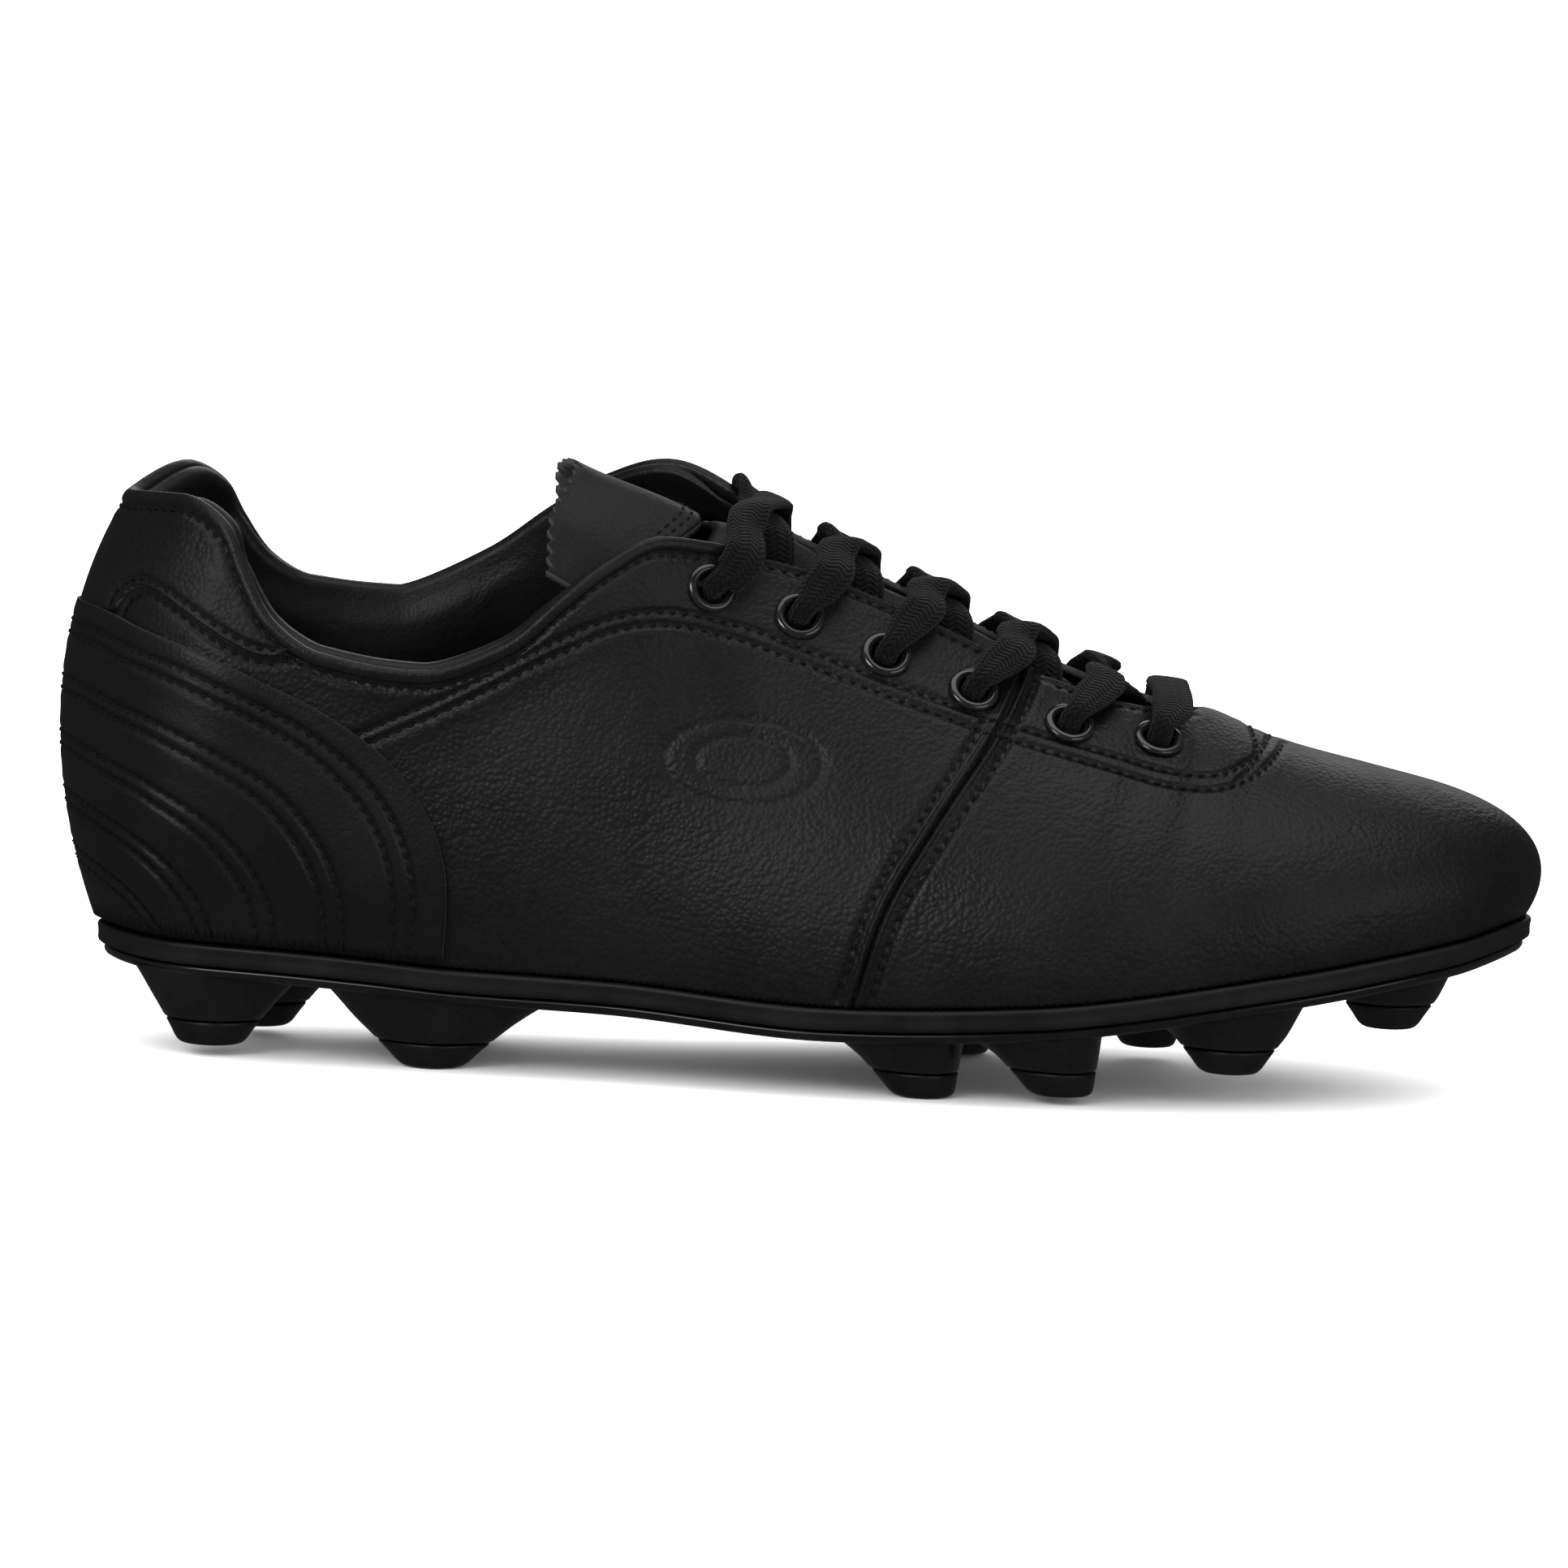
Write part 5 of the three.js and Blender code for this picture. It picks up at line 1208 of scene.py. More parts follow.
class BootQuarters(bpy.types.Operator):
    """Cuts the outer and inner quarters, sewn at the heel back"""

    bl_idname = "boot.quarters"
    bl_label = "Quarters"

    def execute(self, context):
        settings = context.scene.boot_upper
        v = even_v(settings.rows)
        front = vamp_edge(v) + 0.004
        share = np.concatenate([NEAR_SEAM / 170, np.linspace(0.028, 1, int(settings.columns * 0.58))])
        half = front[None, :] + (7.995 - front)[None, :] * share[:, None]
        grid_v = np.broadcast_to(v, half.shape)
        places = eyelet_frames()
        outer = [place for (side, row), place in places.items() if side == "outer" and row >= 2]
        inner = [place for (side, row), place in places.items() if side == "inner" and row >= 2]
        leather_piece("quarter_outer", "quarter", half, grid_v, LEATHER, 0, "upper", ["quarter_outer"],
                      turned_in=True, holes=outer, welts=(0,), motif=blind_stamp)
        leather_piece("quarter_inner", "quarter", STATIONS - half[::-1], grid_v[::-1], LEATHER, 0, "upper",
                      ["quarter_inner"], turned_in=True, holes=inner, welts=(-1,))
        return {"FINISHED"}


class BootCollarPanel(bpy.types.Operator):
    """Lays the padded collar panel round the heel"""

    bl_idname = "boot.collar_panel"
    bl_label = "Collar panel"

    def execute(self, context):
        seam = on_outer(spline(COLLAR_SEAM, 50))
        seam = seam[np.argsort(seam[:, 0])]
        first = seam[0, 0] + 0.02
        half = np.linspace(first, 8, 110)
        low = np.interp(half, seam[:, 0], seam[:, 1])
        low = np.minimum(low, 0.985)
        u = np.concatenate([half, STATIONS - half[-2::-1]])
        low = np.concatenate([low, low[-2::-1]])
        share = np.concatenate([[0, 0.012, 0.03], np.linspace(0.06, 0.96, 36), [0.98, 1]])
        v = low[:, None] + (1 - low)[:, None] * share[None, :]
        leather_piece("collar_panel", "collar", np.broadcast_to(u[:, None], v.shape), v, 1.1, COLLAR_LIFT,
                      "upper",
                      ["collar_panel"], roll=0.9)
        return {"FINISHED"}


class BootHeelCap(bpy.types.Operator):
    """Wraps the quilted heel cap round the counter"""

    bl_idname = "boot.heel_cap"
    bl_label = "Heel cap"

    def execute(self, context):
        edge_line = heel_cap_edge(200)
        corner = int(np.argmin(np.abs(edge_line[:, 1] - HEEL_CAP_CORNER)))
        top = edge_line[: corner + 1][::-1]
        side = edge_line[corner:][::-1]
        top_u = resampled(top * STATION_SCALE, 130) / STATION_SCALE
        top_uv = np.stack([top_u[:, 0], v_at_height(top_u[:, 0], top_u[:, 1])], -1)
        side_u = resampled(side * STATION_SCALE, 90) / STATION_SCALE
        side_uv = np.stack([side_u[:, 0], v_at_height(side_u[:, 0], side_u[:, 1])], -1)
        top_uv[0] = side_uv[-1]
        full_top = np.concatenate([top_uv, flipped(top_uv)[-2::-1]])
        count = len(full_top)
        s = np.linspace(0, 1, count)[:, None]
        t = np.linspace(0, 1, 90)[None, :]
        left, right = side_uv, flipped(side_uv)
        bottom_u = left[0, 0] + (right[0, 0] - left[0, 0]) * s[:, 0]
        bottom = np.stack([bottom_u, np.full(count, 0.02)], -1)
        left = left.copy()
        left[0, 1] = 0.02
        right = flipped(left)
        patch = []
        for k in range(2):
            ruled = (1 - s) * left[None, :, k] + s * right[None, :, k]
            lofted = (1 - t) * bottom[:, None, k] + t * full_top[:, None, k]
            corners = (
                (1 - s) * (1 - t) * left[0, k] + (1 - s) * t * left[-1, k]
                + s * (1 - t) * right[0, k] + s * t * right[-1, k]
            )
            patch.append(ruled + lofted - corners)
        leather_piece("heel_cap", "heel_cap", patch[0], patch[1], 1.2, CAP_LIFT, "cap", ["heel_cap"],
                      roll=0.35)
        return {"FINISHED"}


class BootStitching(bpy.types.Operator):
    """Sews every seam of the upper"""

    bl_idname = "boot.stitching"
    bl_label = "Stitching"

    def execute(self, context):
        for piece in ("vamp", "quarter", "collar", "heel_cap"):
            runs = []
            for owner, uv, lift in STITCH_LINES:
                if owner == piece and len(uv) > 2:
                    line, at = line_points(uv, lift)
                    runs.append((line - face_normal(at[:, 0], at[:, 1]) * 0.12,
                                 face_normal(at[:, 0], at[:, 1])))
            stitches(f"stitching_{piece}", runs)
        return {"FINISHED"}


def padding(u, v):
    """Extra depth of the collar foam."""
    return COLLAR_PAD * smooth(from_toe(u), 5.2, 6.2) * smooth(v, 0.5, 0.8) * (1 - 0.45 * smooth(v, 0.88, 1))


class BootLining(bpy.types.Operator):
    """Lines the boot and rolls the lining over the padded topline"""

    bl_idname = "boot.lining"
    bl_label = "Lining"

    def execute(self, context):
        holes = list(eyelet_frames().values())
        front = 2.9
        v_rows = np.linspace(0, 1, 44)
        zones = [
            ("lining_forefoot", np.linspace(-front, front, 150)),
            ("lining_outer", np.linspace(front + 0.01, 7.995, 170)),
            ("lining_inner", np.linspace(8.005, STATIONS - front - 0.01, 170)),
        ]
        for name, stations in zones:
            seat = sole_height(feather_curve(stations)[:, 0]) + LEATHER + GAP + INSOLE_BOARD + GAP + 1
            low = v_at_height(stations, seat)
            v = low[:, None] + (1 - low)[:, None] * v_rows[None, :]
            u = np.broadcast_to(stations[:, None], v.shape)
            wall = LEATHER + RIM + padding(u, v)
            outer, inner = layer(u, v, wall), layer(u, v, wall + LINING)
            outer, inner = self.rolled_top(stations, outer, inner)
            keep = punched([outer, inner], holes, PUNCHED_HOLE)
            zipped = None
            if name == "lining_forefoot":
                zipped = (np.abs(stations[:-1]) <= THROAT) & (np.abs(stations[1:]) <= THROAT)
            points, faces, _ = grid_solid(outer, inner, keep, zipped=zipped)
            obj = new_object(name, points, faces, None, [finish_of("lining")], "boot", [name],
                             "lining_leather")
            if name == "lining_forefoot":
                cleaned(obj, outward_faces=False)
        return {"FINISHED"}

    def rolled_top(self, stations, outer, inner):
        """Carries the lining up over the foam to the back of the binding."""
        amount = smooth(from_toe(stations), 4.7, 5.0)[:, None]
        top_out, top_in = outer[:, -1], inner[:, -1]
        normal = face_normal(stations, np.ones(len(stations)))
        along = unit(edge(stations + 0.05) - edge(stations - 0.05))
        away = unit(np.cross(along, normal))
        away = np.where(away[:, 2:3] < 0, -away, away)
        wall = np.linalg.norm(top_in - edge(stations), axis=1)[:, None]
        radius = np.maximum((wall - 1.0) / 2, 0.5)
        centre = edge(stations) - normal * (1.0 + radius)
        rows = []
        for angle in np.linspace(0, math.pi, 12)[1:]:
            over = centre + (-normal * math.cos(angle) + away * math.sin(angle) * 0.9) * radius
            rows.append(top_in + (over - top_in) * amount)
        shell = np.stack(rows, 1)
        outer_rows = np.repeat(top_out[:, None], len(rows), 1)
        inset = centre[:, None] + (shell - centre[:, None]) * 0.72
        outer_rows = outer_rows + (inset - outer_rows) * amount[:, None]
        return np.concatenate([outer, outer_rows], 1), np.concatenate([inner, shell], 1)


class BootBinding(bpy.types.Operator):
    """Folds the narrow binding over the topline"""

    bl_idname = "boot.binding"
    bl_label = "Binding"

    def execute(self, context):
        half_height = context.scene.boot_upper.binding / MM
        stations = np.linspace(BINDING_START, STATIONS - BINDING_START, 420)
        normal = face_normal(stations, np.ones(len(stations)))
        along = unit(edge(stations + 0.05) - edge(stations - 0.05))
        away = unit(np.cross(along, normal))
        away = np.where(away[:, 2:3] < 0, -away, away)
        from_ends = np.minimum(stations - BINDING_START, STATIONS - BINDING_START - stations)
        fade = smooth(from_ends, 0, 0.12)[:, None]
        lift = COLLAR_LIFT * smooth(from_toe(stations), 6.3, 6.6)[:, None] * 0.8
        tall_share = 0.68 + 0.32 * smooth(stations, 7.4, 8.4)
        centre = edge(stations) + normal * (lift / 2 - 0.6) - away * 0.1
        rings = []
        for k in range(len(stations)):
            turn = np.linspace(0, 2 * np.pi, 18, endpoint=False)
            flat = np.sign(np.cos(turn)) * np.abs(np.cos(turn)) ** 0.8
            tall = np.sign(np.sin(turn)) * np.abs(np.sin(turn)) ** 0.8
            thick = (1.35 + lift[k] / 2) * (0.5 + 0.5 * fade[k])
            ring = centre[k] + flat[:, None] * normal[k] * thick
            rings.append(ring + tall[:, None] * away[k] * half_height * tall_share[k] * fade[k])
        points, faces = swept(rings)
        obj = new_object("topline_binding", points, faces, None, [finish_of("binding")], "boot",
                         ["topline_binding"], "full_grain_leather")
        cleaned(obj, 0.0)
        return {"FINISHED"}


# ---------------------------------------------------------------- eyelets
class BootEyelets(bpy.types.Operator):
    """Sets twelve rolled eyelets"""

    bl_idname = "boot.eyelets"
    bl_label = "Eyelets"

    def execute(self, context):
        model = self.model_eyelet()
        for (side, row), (centre, normal) in eyelet_frames().items():
            name = f"eyelet_{side}_{EYELETS - row}"
            mesh = model.data.copy()
            turn = Vector((0, 0, 1)).rotation_difference(Vector(normal)).to_matrix().to_4x4()
            mesh.transform(turn)
            mesh.transform(turn.Translation(Vector(centre * MM)))
            obj = bpy.data.objects.new(name, mesh)
            context.scene.collection.objects.link(obj)
            dressed(obj, "boot", [name])
        bpy.data.objects.remove(model)
        return {"FINISHED"}

    def model_eyelet(self):
        """A turned ring: flange with a rounded lip, barrel, and the roll behind the lining."""
        bpy.ops.object.select_all(action="DESELECT")
        bpy.ops.mesh.primitive_circle_add(vertices=40, radius=EYELET_FLANGE * MM, fill_type="NOTHING")
        obj = bpy.context.object
        bpy.ops.object.mode_set(mode="EDIT")
        back = -(LINED + 2 * PLY_GAP)
        profile = [
            (EYELET_FLANGE, EYELET_SEAT), (4.85, 0.62), (4.6, 0.9), (4.2, 1.08), (3.75, 1.12), (3.35, 1.0),
            (3.05, 0.7), (EYELET_BORE, 0.2), (EYELET_BORE, back + 0.3), (EYELET_BORE + 0.15, back - 0.4),
            (3.6, back - 0.5), (4.0, back - 0.3), (4.0, back), (3.4, back + 0.1), (3.3, EYELET_SEAT - 0.3),
            (4.6, EYELET_SEAT - 0.05),
        ]
        bpy.ops.transform.translate(value=(0, 0, profile[0][1] * MM))
        for (r0, z0), (r1, z1) in zip(profile, profile[1:]):
            bpy.ops.mesh.extrude_edges_move(TRANSFORM_OT_translate={"value": (0, 0, (z1 - z0) * MM)})
            bpy.ops.transform.resize(value=(r1 / r0, r1 / r0, 1))
        bpy.ops.mesh.select_all(action="SELECT")
        bpy.ops.object.mode_set(mode="OBJECT")
        obj.data.materials.append(finish_of("eyelet"))
        self.close(obj)
        return obj

    def close(self, obj):
        """Joins the first and last rings of the profile and shades it smooth."""
        work = bmesh.new()
        work.from_mesh(obj.data)
        open_edges = [e for e in work.edges if len(e.link_faces) == 1]
        bmesh.ops.bridge_loops(work, edges=open_edges)
        bmesh.ops.recalc_face_normals(work, faces=work.faces)
        work.to_mesh(obj.data)
        work.free()
        obj.data.polygons.foreach_set("use_smooth", [True] * len(obj.data.polygons))


# ---------------------------------------------------------------- tongue


def in_throat(x, share, lift):
    """A point over the throat: share runs from -1 at the outer edge to 1 at the inner one."""
    outer, inner = on_eyestay(x, -1, 0, 0)[0], on_eyestay(x, 1, 0, 0)[0]
    point = outer + (inner - outer) * (share + 1) / 2
    return point + np.array([0, 0, lift])


def tongue_lift(x):
    fullness = 3.6 * float(smooth(x, 66, 48)) * float(smooth(x, -18, -2))
    return 3.6 + fullness + 2.2 * float(smooth(x, 64, 42)) + 3 * float(smooth(x, 8, -16)) - TONGUE_DEPTH


def tongue_arc(x, drop, count):
    """A curve across the tongue, from the outer to the inner side."""
    wrap = min(TONGUE_WRAP, 6 + (TONGUE_ROOT - x) * 0.7)
    insets = [wrap, wrap / 2, 1]
    depth = TONGUE_DEPTH + drop
    outer = [on_eyestay(x, -1, inset, depth)[0] for inset in insets]
    inner = [on_eyestay(x, 1, inset, depth)[0] for inset in reversed(insets)]
    sink = np.array([0, 0, 2 * float(smooth(x, 8, -12))])
    points = [p - sink for p in outer] + [in_throat(x, 0, tongue_lift(x) - drop)] + [p - sink for p in inner]
    return spline(points, count)


class BootTongue(bpy.types.Operator):
    """Shapes the soft tongue and its loose pinked flap"""

    bl_idname = "boot.tongue"
    bl_label = "Tongue"

    def execute(self, context):
        self.tongue()
        self.flap()
        return {"FINISHED"}

    def tongue(self):
        stations = np.linspace(TONGUE_ROOT, SEWN_ROW + GAP, 60)
        outer = np.array([tongue_arc(x, 0, 61) for x in stations])
        inner = np.array([tongue_arc(x, TONGUE, 61) for x in stations])
        rim = distance_to(outer, border_of(outer))
        down = unit(inner - outer)
        ripple = 0.25 * np.sin(stations / 6.5)[:, None] * smooth(rim, 0, 8)
        outer = outer + down * (rolled(rim, 1.1) + ripple)[..., None]
        points, faces, slots = grid_solid(outer, inner)
        new_object("tongue", points, faces, [0] * len(slots), [finish_of("tongue")], "tongue", ["tongue"],
                   "full_grain_leather")

    def flap(self):
        arc = tongue_arc(SEWN_ROW, 0, 241)
        crest = arc[:, 2].max()
        along = unit(np.array([-1, 0, math.tan(FLAP_SLOPE)]))
        teeth = round(FLAP_GIRTH / PINKING_PITCH)
        columns = 8 * teeth + 1
        spots = np.linspace(FLAP_TRIM, 1 - FLAP_TRIM, columns)
        ends = []
        for k in range(columns):
            tooth = abs((k / 4) % 2 - 1)
            ends.append(FLAP_LENGTH - PINKING_DEPTH * (1 - tooth))
        shares = np.concatenate([[0, 0.015, 0.04], np.linspace(0.08, 0.92, 26), [0.96, 0.985, 1]])
        grid = np.zeros((columns, len(shares), 3))
        for k, spot in enumerate(spots):
            base = np.array([np.interp(spot, np.linspace(0, 1, 241), arc[:, c]) for c in range(3)])
            start = FLAP_CLEARANCE + 0.62 * max(0.0, crest - base[2] - 1)
            run = start + (ends[k] - start) * shares
            grid[k] = base + along * run[:, None]
            side = (spot - 0.5) * 2
            grid[k, :, 2] += -0.9 * np.sin(np.pi * shares) * side**2 + 0.35 * np.sin(shares * 5 + 3 * side)
        rim = distance_to(grid, border_of(grid))
        top, bottom = grid.copy(), grid.copy()
        top[..., 2] -= rolled(rim, 0.35)
        bottom[..., 2] -= FLAP
        points, faces, slots = grid_solid(top, bottom)
        new_object("tongue_flap", points, faces, slots, [finish_of("tongue"), finish_of("edge")],
                   "tongue_flap",
                   ["tongue_flap"], "full_grain_leather")
        runs = []
        for share in (0.07, 0.16):
            j = int(np.argmin(np.abs(shares - share)))
            runs.append((grid[6:-6, j][::2], np.tile([0.35, 0, 0.94], (len(grid[6:-6:2]), 1))))
        stitches("stitching_tongue_flap", runs, body="tongue_flap")


# ---------------------------------------------------------------- lace
def heading(place, towards):
    point, normal = place
    way = towards - point
    return unit(way - (way @ normal) * normal)


def through_eyelet(place, start, end, flip):
    """Up through an eyelet, in from underneath and out on top."""
    point, normal = place
    turn_radius = 2.0
    rows = []

    def turn(way, height, rising, angle):
        c, s = math.cos(angle), math.sin(angle)
        centre = point + way * turn_radius * (1 - (c if rising else s)) + normal * height
        centre = centre + normal * turn_radius * (s if rising else -c)
        up = way * c - normal * s if rising else normal * c + way * s
        rows.append([centre, up * flip, LACE_BUNCHED])

    below, above = heading(place, start), heading(place, end)
    for share in (0.1, 0.55, 1):
        turn(below, turn_radius - TONGUE_UNDER, False, share * math.pi / 2)
    for share in (0, 0.45, 0.9):
        turn(above, LACE_OVER - turn_radius, True, share * math.pi / 2)
    return rows


def across_throat(row, side, flip, width, thickness):
    """From one side's eyelet over the throat and down under the other side's edge."""
    start, end = TONGUE_ROOT - row * EYELET_PITCH, TONGUE_ROOT - (row - 1) * EYELET_PITCH
    resting = 6 * GAP + 0.8

    def at(share):
        return start + (end - start) * share

    def over(share, inset, height, wide):
        point, normal = on_eyestay(at(share), side, inset, -height)
        return [point, -flip * normal, wide]

    def under(share, inset, depth, wide):
        point, normal = on_eyestay(at(share), -side, inset, depth)
        return [point, -flip * normal, wide]

    def between(share, height, lean):
        place = side * (1 - 2 * min(max((share - 0.25) * 2, 0), 1))
        point = in_throat(at(share), place, tongue_lift(at(share)) + height)
        return [point, -flip * np.array([math.sin(lean), 0, math.cos(lean)]), width * 0.92]

    first = thickness / 2 + 2.6 * GAP
    second = first + thickness + GAP
    lean = math.radians(25)
    if side < 0:
        middle = [between(0.37, second + 1.7, 0), between(0.5, second + 0.7, 0),
                  between(0.63, second - 0.5, lean)]
    else:
        middle = [between(0.38, first + 0.1, lean), between(0.5, first, 0), between(0.62, first - 1.1, 0)]
    rim = [in_throat(at(0.29), side * 0.84, resting + 1.1 + (0.9 if side < 0 else 0)), None, width * 0.95]
    rim[1] = over(0.27, 0, 0, 0)[1]
    return [
        over(0.12, EYELET_INSET * 0.5, LACE_OVER + 0.4, width * 0.9),
        over(0.23, 1, resting + 4 * GAP, width),
        rim,
        *middle,
        under(0.77, 2.5, TONGUE_UNDER + 2 * GAP, width * 0.8),
        under(0.88, EYELET_INSET * 0.5, TONGUE_UNDER + GAP, width * 0.75),
    ]


def half_lacing(side, width, thickness):
    rows, flip, here = [], 1, side
    places = eyelet_frames()
    for row in range(EYELETS - 1, -1, -1):
        place = places["outer" if here < 0 else "inner", row]
        x = TONGUE_ROOT - row * EYELET_PITCH
        ahead = on_eyestay(x + EYELET_PITCH * 0.3, here, 0, 0)[0]
        behind = on_eyestay(x - EYELET_PITCH * 0.3, here, 0, 0)[0]
        rim = on_eyestay(x, here, 0, 0)[0]
        start = 2 * place[0] - rim if row == EYELETS - 1 else behind
        rows += through_eyelet(place, start, rim if row == 0 else ahead, flip)
        if row:
            rows += across_throat(row, here, flip, width, thickness)
        flip, here = -flip, -here
    return rows


def lace_strand(name, rows, thickness, steps_per_mm=1.6, **piece):
    """A soft flat lace through [point, up, width] rows, with a UV map in metres along and across it."""
    points = np.array([r[0] for r in rows])
    ups = np.array([r[1] for r in rows])
    widths = np.array([r[2] for r in rows])
    run = np.concatenate([[0], np.cumsum(np.linalg.norm(np.diff(points, axis=0), axis=1))])
    count = int(run[-1] * steps_per_mm)
    line = spline(points, count)
    spot = np.linspace(0, run[-1], count)
    along = unit(np.gradient(line, axis=0))
    up = np.stack([np.interp(spot, run, ups[:, k]) for k in range(3)], -1)
    up = unit(up - (up * along).sum(1)[:, None] * along)
    width = np.interp(spot, run, widths)
    across = np.cross(up, along)
    sides = 16
    turn = 2 * np.pi * np.arange(sides) / sides
    flat = np.sign(np.cos(turn)) * np.abs(np.cos(turn)) ** 0.9
    tall = np.sign(np.sin(turn)) * np.abs(np.sin(turn)) ** 0.7
    full = thickness * (1 + 0.35 * (1 - np.clip(width / widths.max(), 0, 1)))
    rings = (
        line[:, None]
        + across[:, None] * flat[None, :, None] * (width / 2)[:, None, None]
        + up[:, None] * tall[None, :, None] * (full / 2)[:, None, None]
    )
    flat_points, faces = swept(list(rings))
    obj = new_object(name, flat_points, faces, None, [finish_of("lace")], slot="woven_polyester", **piece)
    girth = np.linspace(0, 1, sides + 1) * 2 * width.max()
    layer_uv = obj.data.uv_layers.new(name="UVMap")
    lengths = np.concatenate([[0], np.cumsum(np.linalg.norm(np.diff(line, axis=0), axis=1))])
    uv = []
    for k in range(count - 1):
        for i in range(sides):
            uv += [(lengths[k], girth[i]), (lengths[k], girth[i + 1]), (lengths[k + 1], girth[i + 1]),
                   (lengths[k + 1], girth[i])]
    uv += [(0.0, 0.0)] * (2 * sides)
    layer_uv.data.foreach_set("uv", (np.array(uv) * MM).ravel())
    return obj, line


class BootLace(bpy.types.Operator):
    """Threads the lace through the eyelets"""

    bl_idname = "boot.lace"
    bl_label = "Lace"

    def execute(self, context):
        settings = context.scene.boot_lace
        width, thickness = settings.width / MM, settings.thickness / MM
        down = half_lacing(-1, width, thickness)
        back = half_lacing(1, width, thickness)[::-1]
        bar = []
        x = TONGUE_ROOT
        for side, insets in ((1, (6.0, 0.5)), (-1, (0.5, 6.0))):
            for inset in insets:
                height = LACE_OVER + 0.3 if inset > 1 else 6 * GAP + 1.4
                point, normal = on_eyestay(x, side, inset, -height)
                bar.append([point, normal, width])
        bar.insert(2, [in_throat(x, 0, 6 * GAP + 2.6), np.array([0, 0, 1.0]), width])
        lace_strand("lace", [*down, *bar, *back], thickness, body="boot", replaces=["lace"])
        return {"FINISHED"}


class BootTails(bpy.types.Operator):
    """Tucks the free ends of the lace into the boot"""

    bl_idname = "boot.tails"
    bl_label = "Lace ends"

    def execute(self, context):
        settings = context.scene.boot_lace
        thickness = TAIL_THICKNESS
        for name, points, side in (("outer", TAIL_OUTER, -1), ("inner", TAIL_INNER, 1)):
            aglet = self.aglet(name, points)
            line = spline(points, 160)
            start = half_lacing(side, settings.width / MM, thickness)[0][1]
            rows = []
            for point in line:
                laid = np.array([3 * side * float(smooth(point[2], 33, 42)), 0, 1])
                up = start + (laid - start) * float(smooth(point[2], 58, 42))
                share = float(smooth(point[2], points[0][2], 70))
                rows.append([point, up, TAIL_BUNCHED + (settings.width / MM - TAIL_BUNCHED) * share])
            strand, path = lace_strand(f"lace_tail_{name}", rows, thickness, 1.0, body="boot",
                                       replaces=[f"lace_tail_{name}"])
        return {"FINISHED"}

    def aglet(self, name, points):
        """A heat-shrunk tip: a slim cylinder with rounded ends."""
        end = spline(points, 160)
        along = end[-1] - end[-2]
        along[2] = 0
        along = unit(along)
        length, radius = AGLET_LENGTH, AGLET_RADIUS
        middle = end[-1] + along * (length / 2 + GAP)
        bpy.ops.object.select_all(action="DESELECT")
        bpy.ops.mesh.primitive_cylinder_add(vertices=24, radius=radius * MM, depth=length * MM)
        obj = bpy.context.object
        obj.name = f"aglet_{name}_film"
        bpy.ops.object.mode_set(mode="EDIT")
        bpy.ops.mesh.select_all(action="SELECT")
        bpy.ops.mesh.bevel(offset=0.45 * MM, segments=3, affect="EDGES")
        bpy.ops.object.mode_set(mode="OBJECT")
        turn = Vector((0, 0, 1)).rotation_difference(Vector(along)).to_matrix().to_4x4()
        obj.data.transform(turn)
        obj.data.transform(turn.Translation(Vector(middle * MM)))
        obj.data.polygons.foreach_set("use_smooth", [True] * len(obj.data.polygons))
        obj.data.materials.append(finish_of("aglet"))
        return dressed(obj, "boot", [f"aglet_{name}"])


# ---------------------------------------------------------------- sole
def slab(levels, columns=220):
    """A slab that follows the feather line, from rings of [offset outwards, height over it]."""
    u = np.arange(columns) * STATIONS / columns
    rings = [on_sole(u, np.full(columns, float(offset)), height) for offset, height in levels]
    points = np.concatenate(rings)
    faces = []
    for k in range(len(rings) - 1):
        for i in range(columns):
            n = (i + 1) % columns
            faces.append((k * columns + n, k * columns + i, (k + 1) * columns + i, (k + 1) * columns + n))
    top = (len(rings) - 1) * columns
    for i in range(columns // 2):
        a, b, c, d = i, i + 1, columns - i - 1, (columns - i) % columns
        bottom_face = [a, b, c, d]
        top_face = [a + top, d + top, c + top, b + top]
        for face in (bottom_face, top_face):
            unique = list(dict.fromkeys(face))
            if len(unique) > 2:
                faces.append(tuple(unique))
    return points, faces


def stud_ring(stud, height, sides, grow=0.0):
    """A ring of a stud at a height above its tip."""
    x, y, tip, radius0, behind, front, aside = stud
    reach = float(sole_height(np.array(x))) + LOWEST_SOLE - tip
    t = min(max(height / reach, 0), 1.2)
    radius = radius0 * (1 + STUD_TAPER * t) + grow
    flare = t**STUD_FLARE_POWER
    angle = 2 * np.pi * np.arange(sides) / sides
    c, s = np.cos(angle), np.sin(angle)
    dx = c * (radius + flare * np.where(c > 0, front, behind) * np.abs(c))
    follow = sole_height(x + dx) - sole_height(np.array(x))
    z = tip + height + follow * float(smooth(t, 0.55, 1))
    return np.stack([x + dx, y + s * (radius + flare * aside), z], -1)


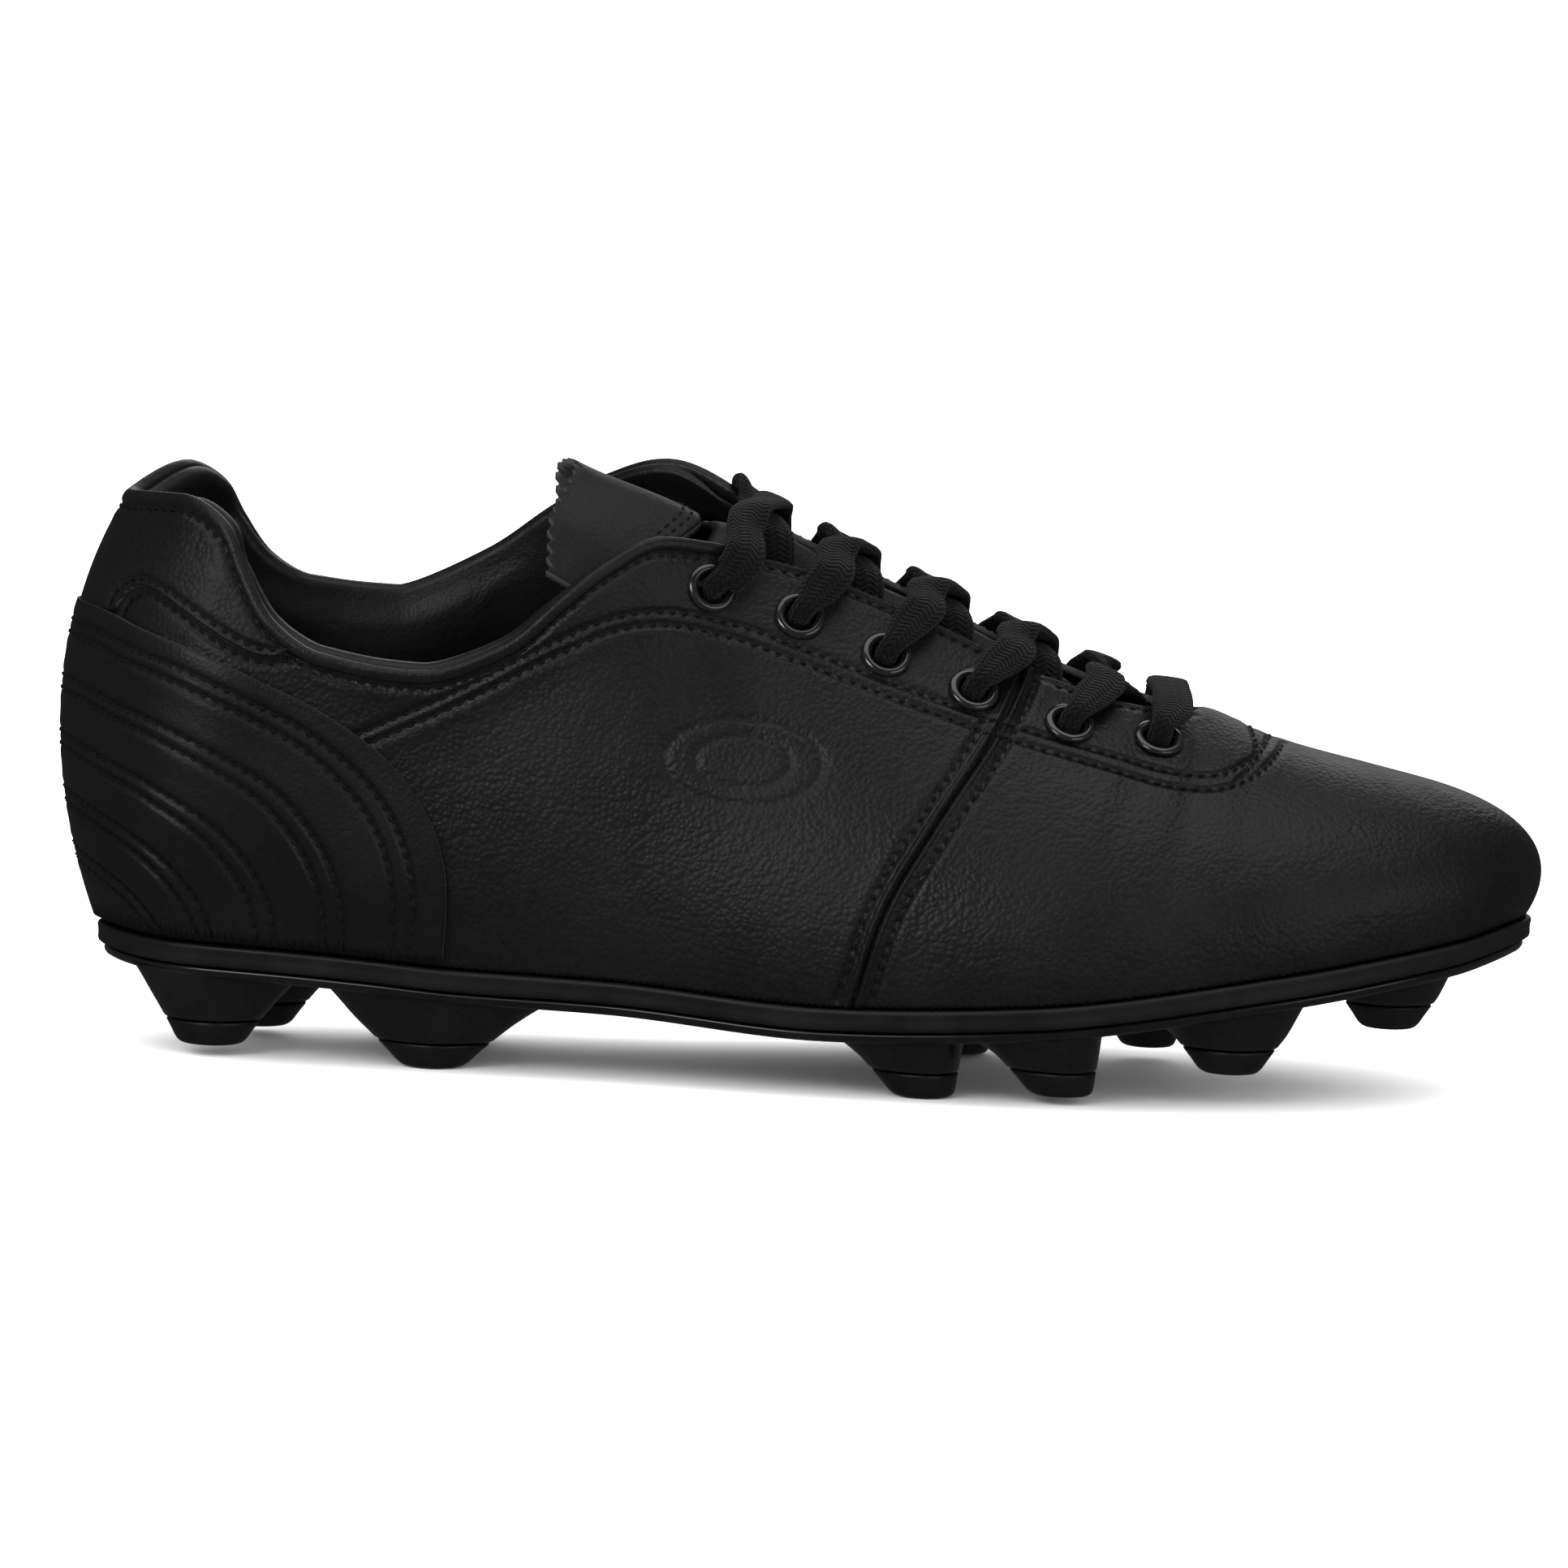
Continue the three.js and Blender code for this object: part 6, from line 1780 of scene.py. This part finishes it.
class BootSole(bpy.types.Operator):
    """Moulds the midsole, the outsole with its studs, and the sock liner"""

    bl_idname = "boot.sole"
    bl_label = "Sole"

    def execute(self, context):
        self.midsole()
        self.outsole()
        self.tips()
        self.sock_liner()
        return {"FINISHED"}

    def midsole(self):
        top = -GAP
        lip = MIDSOLE_LIP
        levels = [
            (lip - 1.3, top - MIDSOLE), (lip - 0.75, top - MIDSOLE + 0.12), (lip - 0.3, top - MIDSOLE + 0.45),
            (lip - 0.12, top - MIDSOLE + 0.95), (lip - 0.18, top - MIDSOLE * 0.55), (lip - 0.1, top - 1.3),
            (lip, top - 0.95), (lip, top - 0.6), (lip - 0.15, top - 0.25), (lip - 0.45, top - 0.08),
            (lip - 0.9, top), (lip - 1.6, top),
        ]
        points, faces = slab(levels, 320)
        new_object("midsole", points, faces, None, [finish_of("midsole")], "boot", ["midsole"],
                   "midsole_rubber")

    def outsole(self):
        rim = MIDSOLE_LIP - OUTSOLE_INSET
        low = LOWEST_SOLE
        levels = [
            (rim - 2.2, low), (rim - 1.2, low + 0.1), (rim - 0.5, low + 0.45), (rim - 0.12, low + 0.95),
            (rim, low + 1.4), (rim - 0.1, low + OUTSOLE - 0.25), (rim - 0.4, low + OUTSOLE),
        ]
        points, faces = slab(levels, 320)
        points, faces = [points], list(faces)
        for stud in STUDS.values():
            x, tip = stud[0], stud[2]
            reach = float(sole_height(np.array(x))) + low - tip
            heights = [STUD_TIP + GAP, STUD_TIP + GAP + 0.25]
            heights += list(np.linspace(STUD_TIP + GAP + 1.0, reach + OUTSOLE * 0.45, 12))
            rings = [stud_ring(stud, h, 48, -0.25 if k == 0 else 0) for k, h in enumerate(heights)]
            ring_points, ring_faces = swept(rings)
            base = sum(len(p) for p in points)
            points.append(ring_points)
            faces += [tuple(base + k for k in face) for face in ring_faces]
        new_object("outsole", np.concatenate(points), faces, None, [finish_of("outsole")], "boot",
                   ["outsole"],
                   "outsole_polymer")

    def tips(self):
        for name, stud in STUDS.items():
            levels = [(0.0, -1.3), (0.1, -0.75), (0.35, -0.35), (0.8, -0.1), (1.3, 0.0), (2.4, 0.0),
                      (3.6, 0.0),
                      (STUD_TIP - 0.25, 0.0), (STUD_TIP, -0.25)]
            rings = [stud_ring(stud, height, 48, grow) for height, grow in levels]
            points, faces = swept(rings)
            new_object(f"stud_tip_{name}", points, faces, None, [finish_of("stud")], "boot",
                       [f"stud_tip_{name}"],
                       "stud_tip_polymer")

    def sock_liner(self):
        inset = -(LINED + 3 * GAP)
        base = LEATHER + GAP + INSOLE_BOARD + GAP
        lip = inset + SOCK_LINER_LIP
        levels = [(inset, base), (lip, base + 1.4), (lip, base + 2.0), (lip - 0.4, base + 2.5),
                  (lip - 1.1, base + 2.85), (lip - 2.2, base + SOCK_LINER)]
        points, faces = slab(levels, 200)
        new_object("sock_liner", points, faces, None, [finish_of("liner")], "boot", ["sock_liner"],
                   "sock_liner_foam")


class BootPanel(bpy.types.Panel):
    """Buttons for each piece of the boot"""

    bl_idname = "VIEW3D_PT_boot"
    bl_label = "Football boot"
    bl_space_type = "VIEW_3D"
    bl_region_type = "UI"
    bl_category = "Boot"

    def draw(self, context):
        for settings in (context.scene.boot_upper, context.scene.boot_lace, context.scene.boot_stage):
            box = self.layout.box()
            for key in settings.bl_rna.properties.keys():
                if key not in {"rna_type", "name"}:
                    box.prop(settings, key)
        for operator in OPERATORS:
            self.layout.operator(operator.bl_idname)


OPERATORS = [
    BootStage, BootFrameFinishes, BootVamp, BootQuarters, BootCollarPanel, BootHeelCap, BootStitching,
    BootLining, BootBinding, BootEyelets, BootTongue, BootLace, BootTails, BootSole,
]
SETTINGS = {"boot_upper": BootUpperSettings, "boot_lace": BootLaceSettings, "boot_stage": BootStageSettings}


def register():
    for group in SETTINGS.values():
        bpy.utils.register_class(group)
    for operator in OPERATORS:
        bpy.utils.register_class(operator)
    bpy.utils.register_class(BootPanel)
    for name, group in SETTINGS.items():
        setattr(bpy.types.Scene, name, bpy.props.PointerProperty(type=group))


def unregister():
    for name in SETTINGS:
        delattr(bpy.types.Scene, name)
    for registered in (BootPanel, *reversed(OPERATORS), *SETTINGS.values()):
        bpy.utils.unregister_class(registered)


def main():
    register()
    draw_stitch_lines()
    for operator in OPERATORS:
        family, name = operator.bl_idname.split(".")
        getattr(getattr(bpy.ops, family), name)()


if __name__ == "__main__":
    main()
